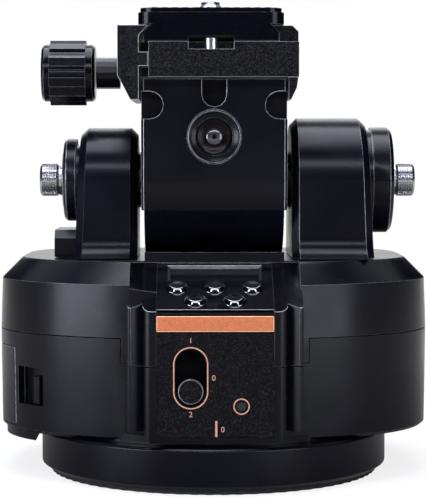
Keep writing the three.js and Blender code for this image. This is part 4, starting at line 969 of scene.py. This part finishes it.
def printed_ring(middle, radius, travel, name):
    """A printed line round a hole, or round a slot. The radius and half the travel are in mm."""
    deselect()
    bpy.ops.mesh.primitive_circle_add(vertices=PRINT_SIDES, radius=radius * MM, fill_type="NGON",
                                      rotation=(0, 0, math.pi / PRINT_SIDES))
    piece = bpy.context.object
    bpy.ops.object.transform_apply(location=False, rotation=True, scale=False)
    for way in (1, -1):
        pick_points(piece, lambda place: place.y * way > 0)
        bpy.ops.transform.translate(value=(0, way * travel * MM, 0))
        bpy.ops.object.mode_set(mode="OBJECT")
    pick_faces(piece, lambda centre, normal: True)
    bpy.ops.mesh.inset(thickness=PRINT_LINE * MM)
    bpy.ops.mesh.delete(type="FACE")
    raise_print()
    settle(piece, (middle.x, panel_face(), middle.z), FACING_FRONT)
    print_finish(piece, name)


def printed_number(text, x, z, name):
    """A printed plain number, centred on (x, z) in mm."""
    deselect()
    bpy.ops.object.text_add()
    piece = bpy.context.object
    piece.data.body = text
    piece.data.align_x = "CENTER"
    piece.data.align_y = "CENTER"
    piece.data.size = NUMBER_SIZE * MM
    piece.data.extrude = PRINT_THICK / 2 * MM
    bpy.ops.object.convert(target="MESH")
    piece = bpy.context.object
    settle(piece, (x * MM, panel_face() - PRINT_THICK / 2 * MM, z * MM), FACING_FRONT)
    print_finish(piece, name)


def add_index_line():
    """The pan index line that runs off the panel's lower edge."""
    deselect()
    height = INDEX_LINE["top"] - INDEX_LINE["bottom"]
    middle = (INDEX_LINE["top"] + INDEX_LINE["bottom"]) / 2
    bpy.ops.mesh.primitive_plane_add(size=1)
    piece = bpy.context.object
    piece.scale = (INDEX_LINE["width"] * MM, height * MM, 1)
    bpy.ops.object.transform_apply(location=False, rotation=False, scale=True)
    bpy.ops.object.mode_set(mode="EDIT")
    raise_print()
    settle(piece, (INDEX_LINE["x"] * MM, panel_face(), middle * MM), FACING_FRONT)
    print_finish(piece, "index_line")


def add_panel_print():
    """The rings round the switch's slot and the lamp, the plain numbers and the index line."""
    printed_ring(middle_of("mode_switch"), SLOT_RING["radius"], SLOT_RING["travel"], "slot_print")
    printed_ring(middle_of("status_lens"), LAMP_RING_RADIUS, 0, "lamp_print")
    for count, (text, (x, z)) in enumerate(NUMBERS, 1):
        printed_number(text, x, z, f"number_print_{count}")
    add_index_line()


def add_slider():
    """The mode switch's round knob with a painted highlight on its raised rim, on its stem."""
    piece = turned(SLIDER_PROFILE)
    smooth(piece, 40)
    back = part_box("mode_slider")[1][1]
    middle = middle_of("mode_slider")
    settle(piece, (middle.x, back, middle.z), FACING_FRONT)
    dress(piece, "mode_slider_knob", FINISH["panel"], "gloss", BODY_OF["mode_slider"], "mode_slider")
    # Painted highlight on the knob's raised rim.
    finish_faces(piece, EDGE_HIGHLIGHT, lambda face: face.normal.y < SLIDER_RIM_FACING
                 and off_axis(face, middle) > SLIDER_RIM)


# Rubber mat under the foot

MAT_SIDES = 288
MAT_TOOTH_SHARE = 0.9925
MAT_TOOTH_STEPS = 4
MAT_BORE = 9.0
MAT_EDGE = 0.25
MAT_RIM = 1


def add_mat():
    """The ribbed rim of the rubber mat shows all round the foot."""
    low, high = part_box("rubber_mat")
    radius = high[0] / MM
    thick = (high[2] - low[2]) / MM
    piece = turned_ring([(MAT_BORE, thick), (MAT_BORE, 0), (radius - MAT_EDGE, 0), (radius, MAT_EDGE),
                         (radius, thick)], MAT_SIDES)
    step = math.tau / MAT_SIDES
    pick_points(piece, lambda place: place.xy.length > (radius - MAT_RIM) * MM
                and round(math.atan2(place.y, place.x) / step) % MAT_TOOTH_STEPS < MAT_TOOTH_STEPS / 2)
    bpy.ops.transform.resize(value=(MAT_TOOTH_SHARE, MAT_TOOTH_SHARE, 1), center_override=(0, 0, 0))
    bpy.ops.object.mode_set(mode="OBJECT")
    dress(piece, "ribbed_mat", FINISH["rubber"], "rubber", BODY_OF["rubber_mat"], "rubber_mat")


# Camera screw

SCREW_SIDES = 40
SCREW_RADIUS = 3.1
SCREW_ROOT = 2.62
SCREW_PITCH = 1.27
SCREW_CREST = (0.4, 0.6)
SCREW_HEAD = {"radius": 5.9, "height": 3.2, "edge": 0.4}
SCREW_SLOT = {"width": 1.2, "depth": 1.2}
SCREW_TIP = ((0.1, 0.15), (0.4, 0))  # how much narrower than the root, and how far below the end


def add_camera_screw():
    """A slotted screw with thread grooves, which stands out of the plate's pad."""
    low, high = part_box("camera_screw")
    length = (high[2] - low[2]) / MM
    head, edge, wide = SCREW_HEAD["height"], SCREW_HEAD["edge"], SCREW_HEAD["radius"]
    profile = [(wide - edge, 0), (wide, edge), (wide, head - edge), (wide - edge, head), (SCREW_ROOT, head)]
    height = head + SCREW_PITCH / 2
    while height + SCREW_PITCH < length:
        profile += [(SCREW_ROOT, height)]
        profile += [(SCREW_RADIUS, height + SCREW_PITCH * share) for share in SCREW_CREST]
        height += SCREW_PITCH
    profile += [(SCREW_ROOT, height)]
    profile += [(SCREW_ROOT - narrower, length - lower) for narrower, lower in SCREW_TIP]
    piece = turned(profile, SCREW_SIDES)
    slot = (3 * wide * MM, SCREW_SLOT["width"] * MM, 2 * SCREW_SLOT["depth"] * MM)
    cut_away(piece, slot_cutter((0, 0, 0), slot))
    smooth(piece, 30)
    middle = middle_of("camera_screw")
    settle(piece, (middle.x, middle.y, low[2]))
    dress(piece, "threaded_camera_screw", FINISH["steel"], "steel", BODY_OF["camera_screw"], "camera_screw")


# Stop pin at the front of the plate, between it and the clamp's front wall

PIN_SIDES = 32
PIN_SHANK = 1.1
PIN_HEAD = 3.05
PIN_EDGE = 0.25
PIN_FLAT = 0.3


def add_stop_pin():
    """The pin's head stands on a thinner shank."""
    low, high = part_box("stop_pin")
    radius = (high[0] - low[0]) / 2 / MM
    length = (high[2] - low[2]) / MM
    seat = length - PIN_HEAD
    piece = turned([(PIN_SHANK, 0), (PIN_SHANK, seat), (radius, seat), (radius, length - PIN_EDGE),
                    (radius - PIN_EDGE, length), (PIN_FLAT, length)], PIN_SIDES)
    smooth(piece, 30)
    middle = middle_of("stop_pin")
    settle(piece, (middle.x, middle.y, low[2]))
    dress(piece, "turned_stop_pin", FINISH["steel"], "steel", BODY_OF["stop_pin"], "stop_pin")


# Small cross recessed screws that hold the rear cover

COVER_SCREW = [(1.5, -0.6), (1.5, 0.05), (1.42, 0.16), (1.2, 0.26), (0.8, 0.33), (0.2, 0.36)]
COVER_SCREW_SIDES = 24
COVER_SCREW_TURN = math.radians(17)
COVER_SCREW_PLACES = ((-14.6, 86), (14.6, 86), (-14.6, 101.5), (14.6, 101.5))
CROSS = (1.9, 0.42, 0.7)


def add_cover_screws():
    """Four pan head screws in the back of the tilting block, modelled once and copied."""
    model = turned(COVER_SCREW, COVER_SCREW_SIDES)
    top = COVER_SCREW[-1][1] * MM
    cross = [side * MM for side in CROSS]
    for turn in (0, math.pi / 2):
        cut_away(model, slot_cutter((0, 0, top), cross, turn))
    smooth(model, 30)
    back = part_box("tilt_rear_cover")[1][1]
    for count, (x, z) in enumerate(COVER_SCREW_PLACES, 1):
        piece = copied(model)
        settle(piece, (x * MM, back, z * MM), (-math.pi / 2, COVER_SCREW_TURN * count, 0))
        dress(piece, f"cover_screw_{count}", FINISH["darkSteel"], "darkSteel", BODY_OF["tilt_rear_cover"])
    bpy.data.objects.remove(model)


# Corners of the CAD nodes that keep their shape: the width in mm, and the colour that paints a highlight
# along the bevel, if any

SOFT_CORNERS = {
    "pan_base": (0.25, None),
    "lower_shell": (0.2, EDGE_HIGHLIGHT),
    "upper_shell": (0.2, EDGE_HIGHLIGHT),
    "battery_door": (0.2, EDGE_HIGHLIGHT),
    "battery_latch": (0.2, None),
    "left_tower": (0.3, EDGE_HIGHLIGHT),
    "right_tower": (0.3, EDGE_HIGHLIGHT),
    "tilt_rear_cover": (0.2, EDGE_HIGHLIGHT),
    "clamp_knob": (0.3, EDGE_HIGHLIGHT),
    "quick_plate": (0.2, EDGE_HIGHLIGHT),
    "decor_panel": (0.08, None),
    "accent_stripe": (0.16, COPPER_EDGE_HIGHLIGHT),
    "deck_cover": (0.15, EDGE),
    "clamp_body": (0.5, EDGE),
    "moving_jaw": (0.28, EDGE),
    "tilt_front_cover": (0.3, EDGE),
    "left_cap": (0.2, EDGE_HIGHLIGHT),
    "right_cap": (0.2, EDGE_HIGHLIGHT),
}

add_camera()
for lamp in LAMPS:
    add_lamp(**lamp)
add_world()
deselect()
add_floor()
add_dark_screen()
add_dark_card()
paint_frame()

for node, (width, edge) in SOFT_CORNERS.items():
    softened(node, width, edge)
finish_deck_cover()
finish_basin()
for side in ("left", "right"):
    parting_line(f"{side}_cap")
    knurled_bolt(side)
for word in ("up", "mode", "power", "left", "right"):
    domed_button(f"button_{word}")
add_lens()
add_panel_print()
add_slider()
add_mat()
add_camera_screw()
add_stop_pin()
add_cover_screws()

bpy.context.scene.view_settings.view_transform = "Standard"
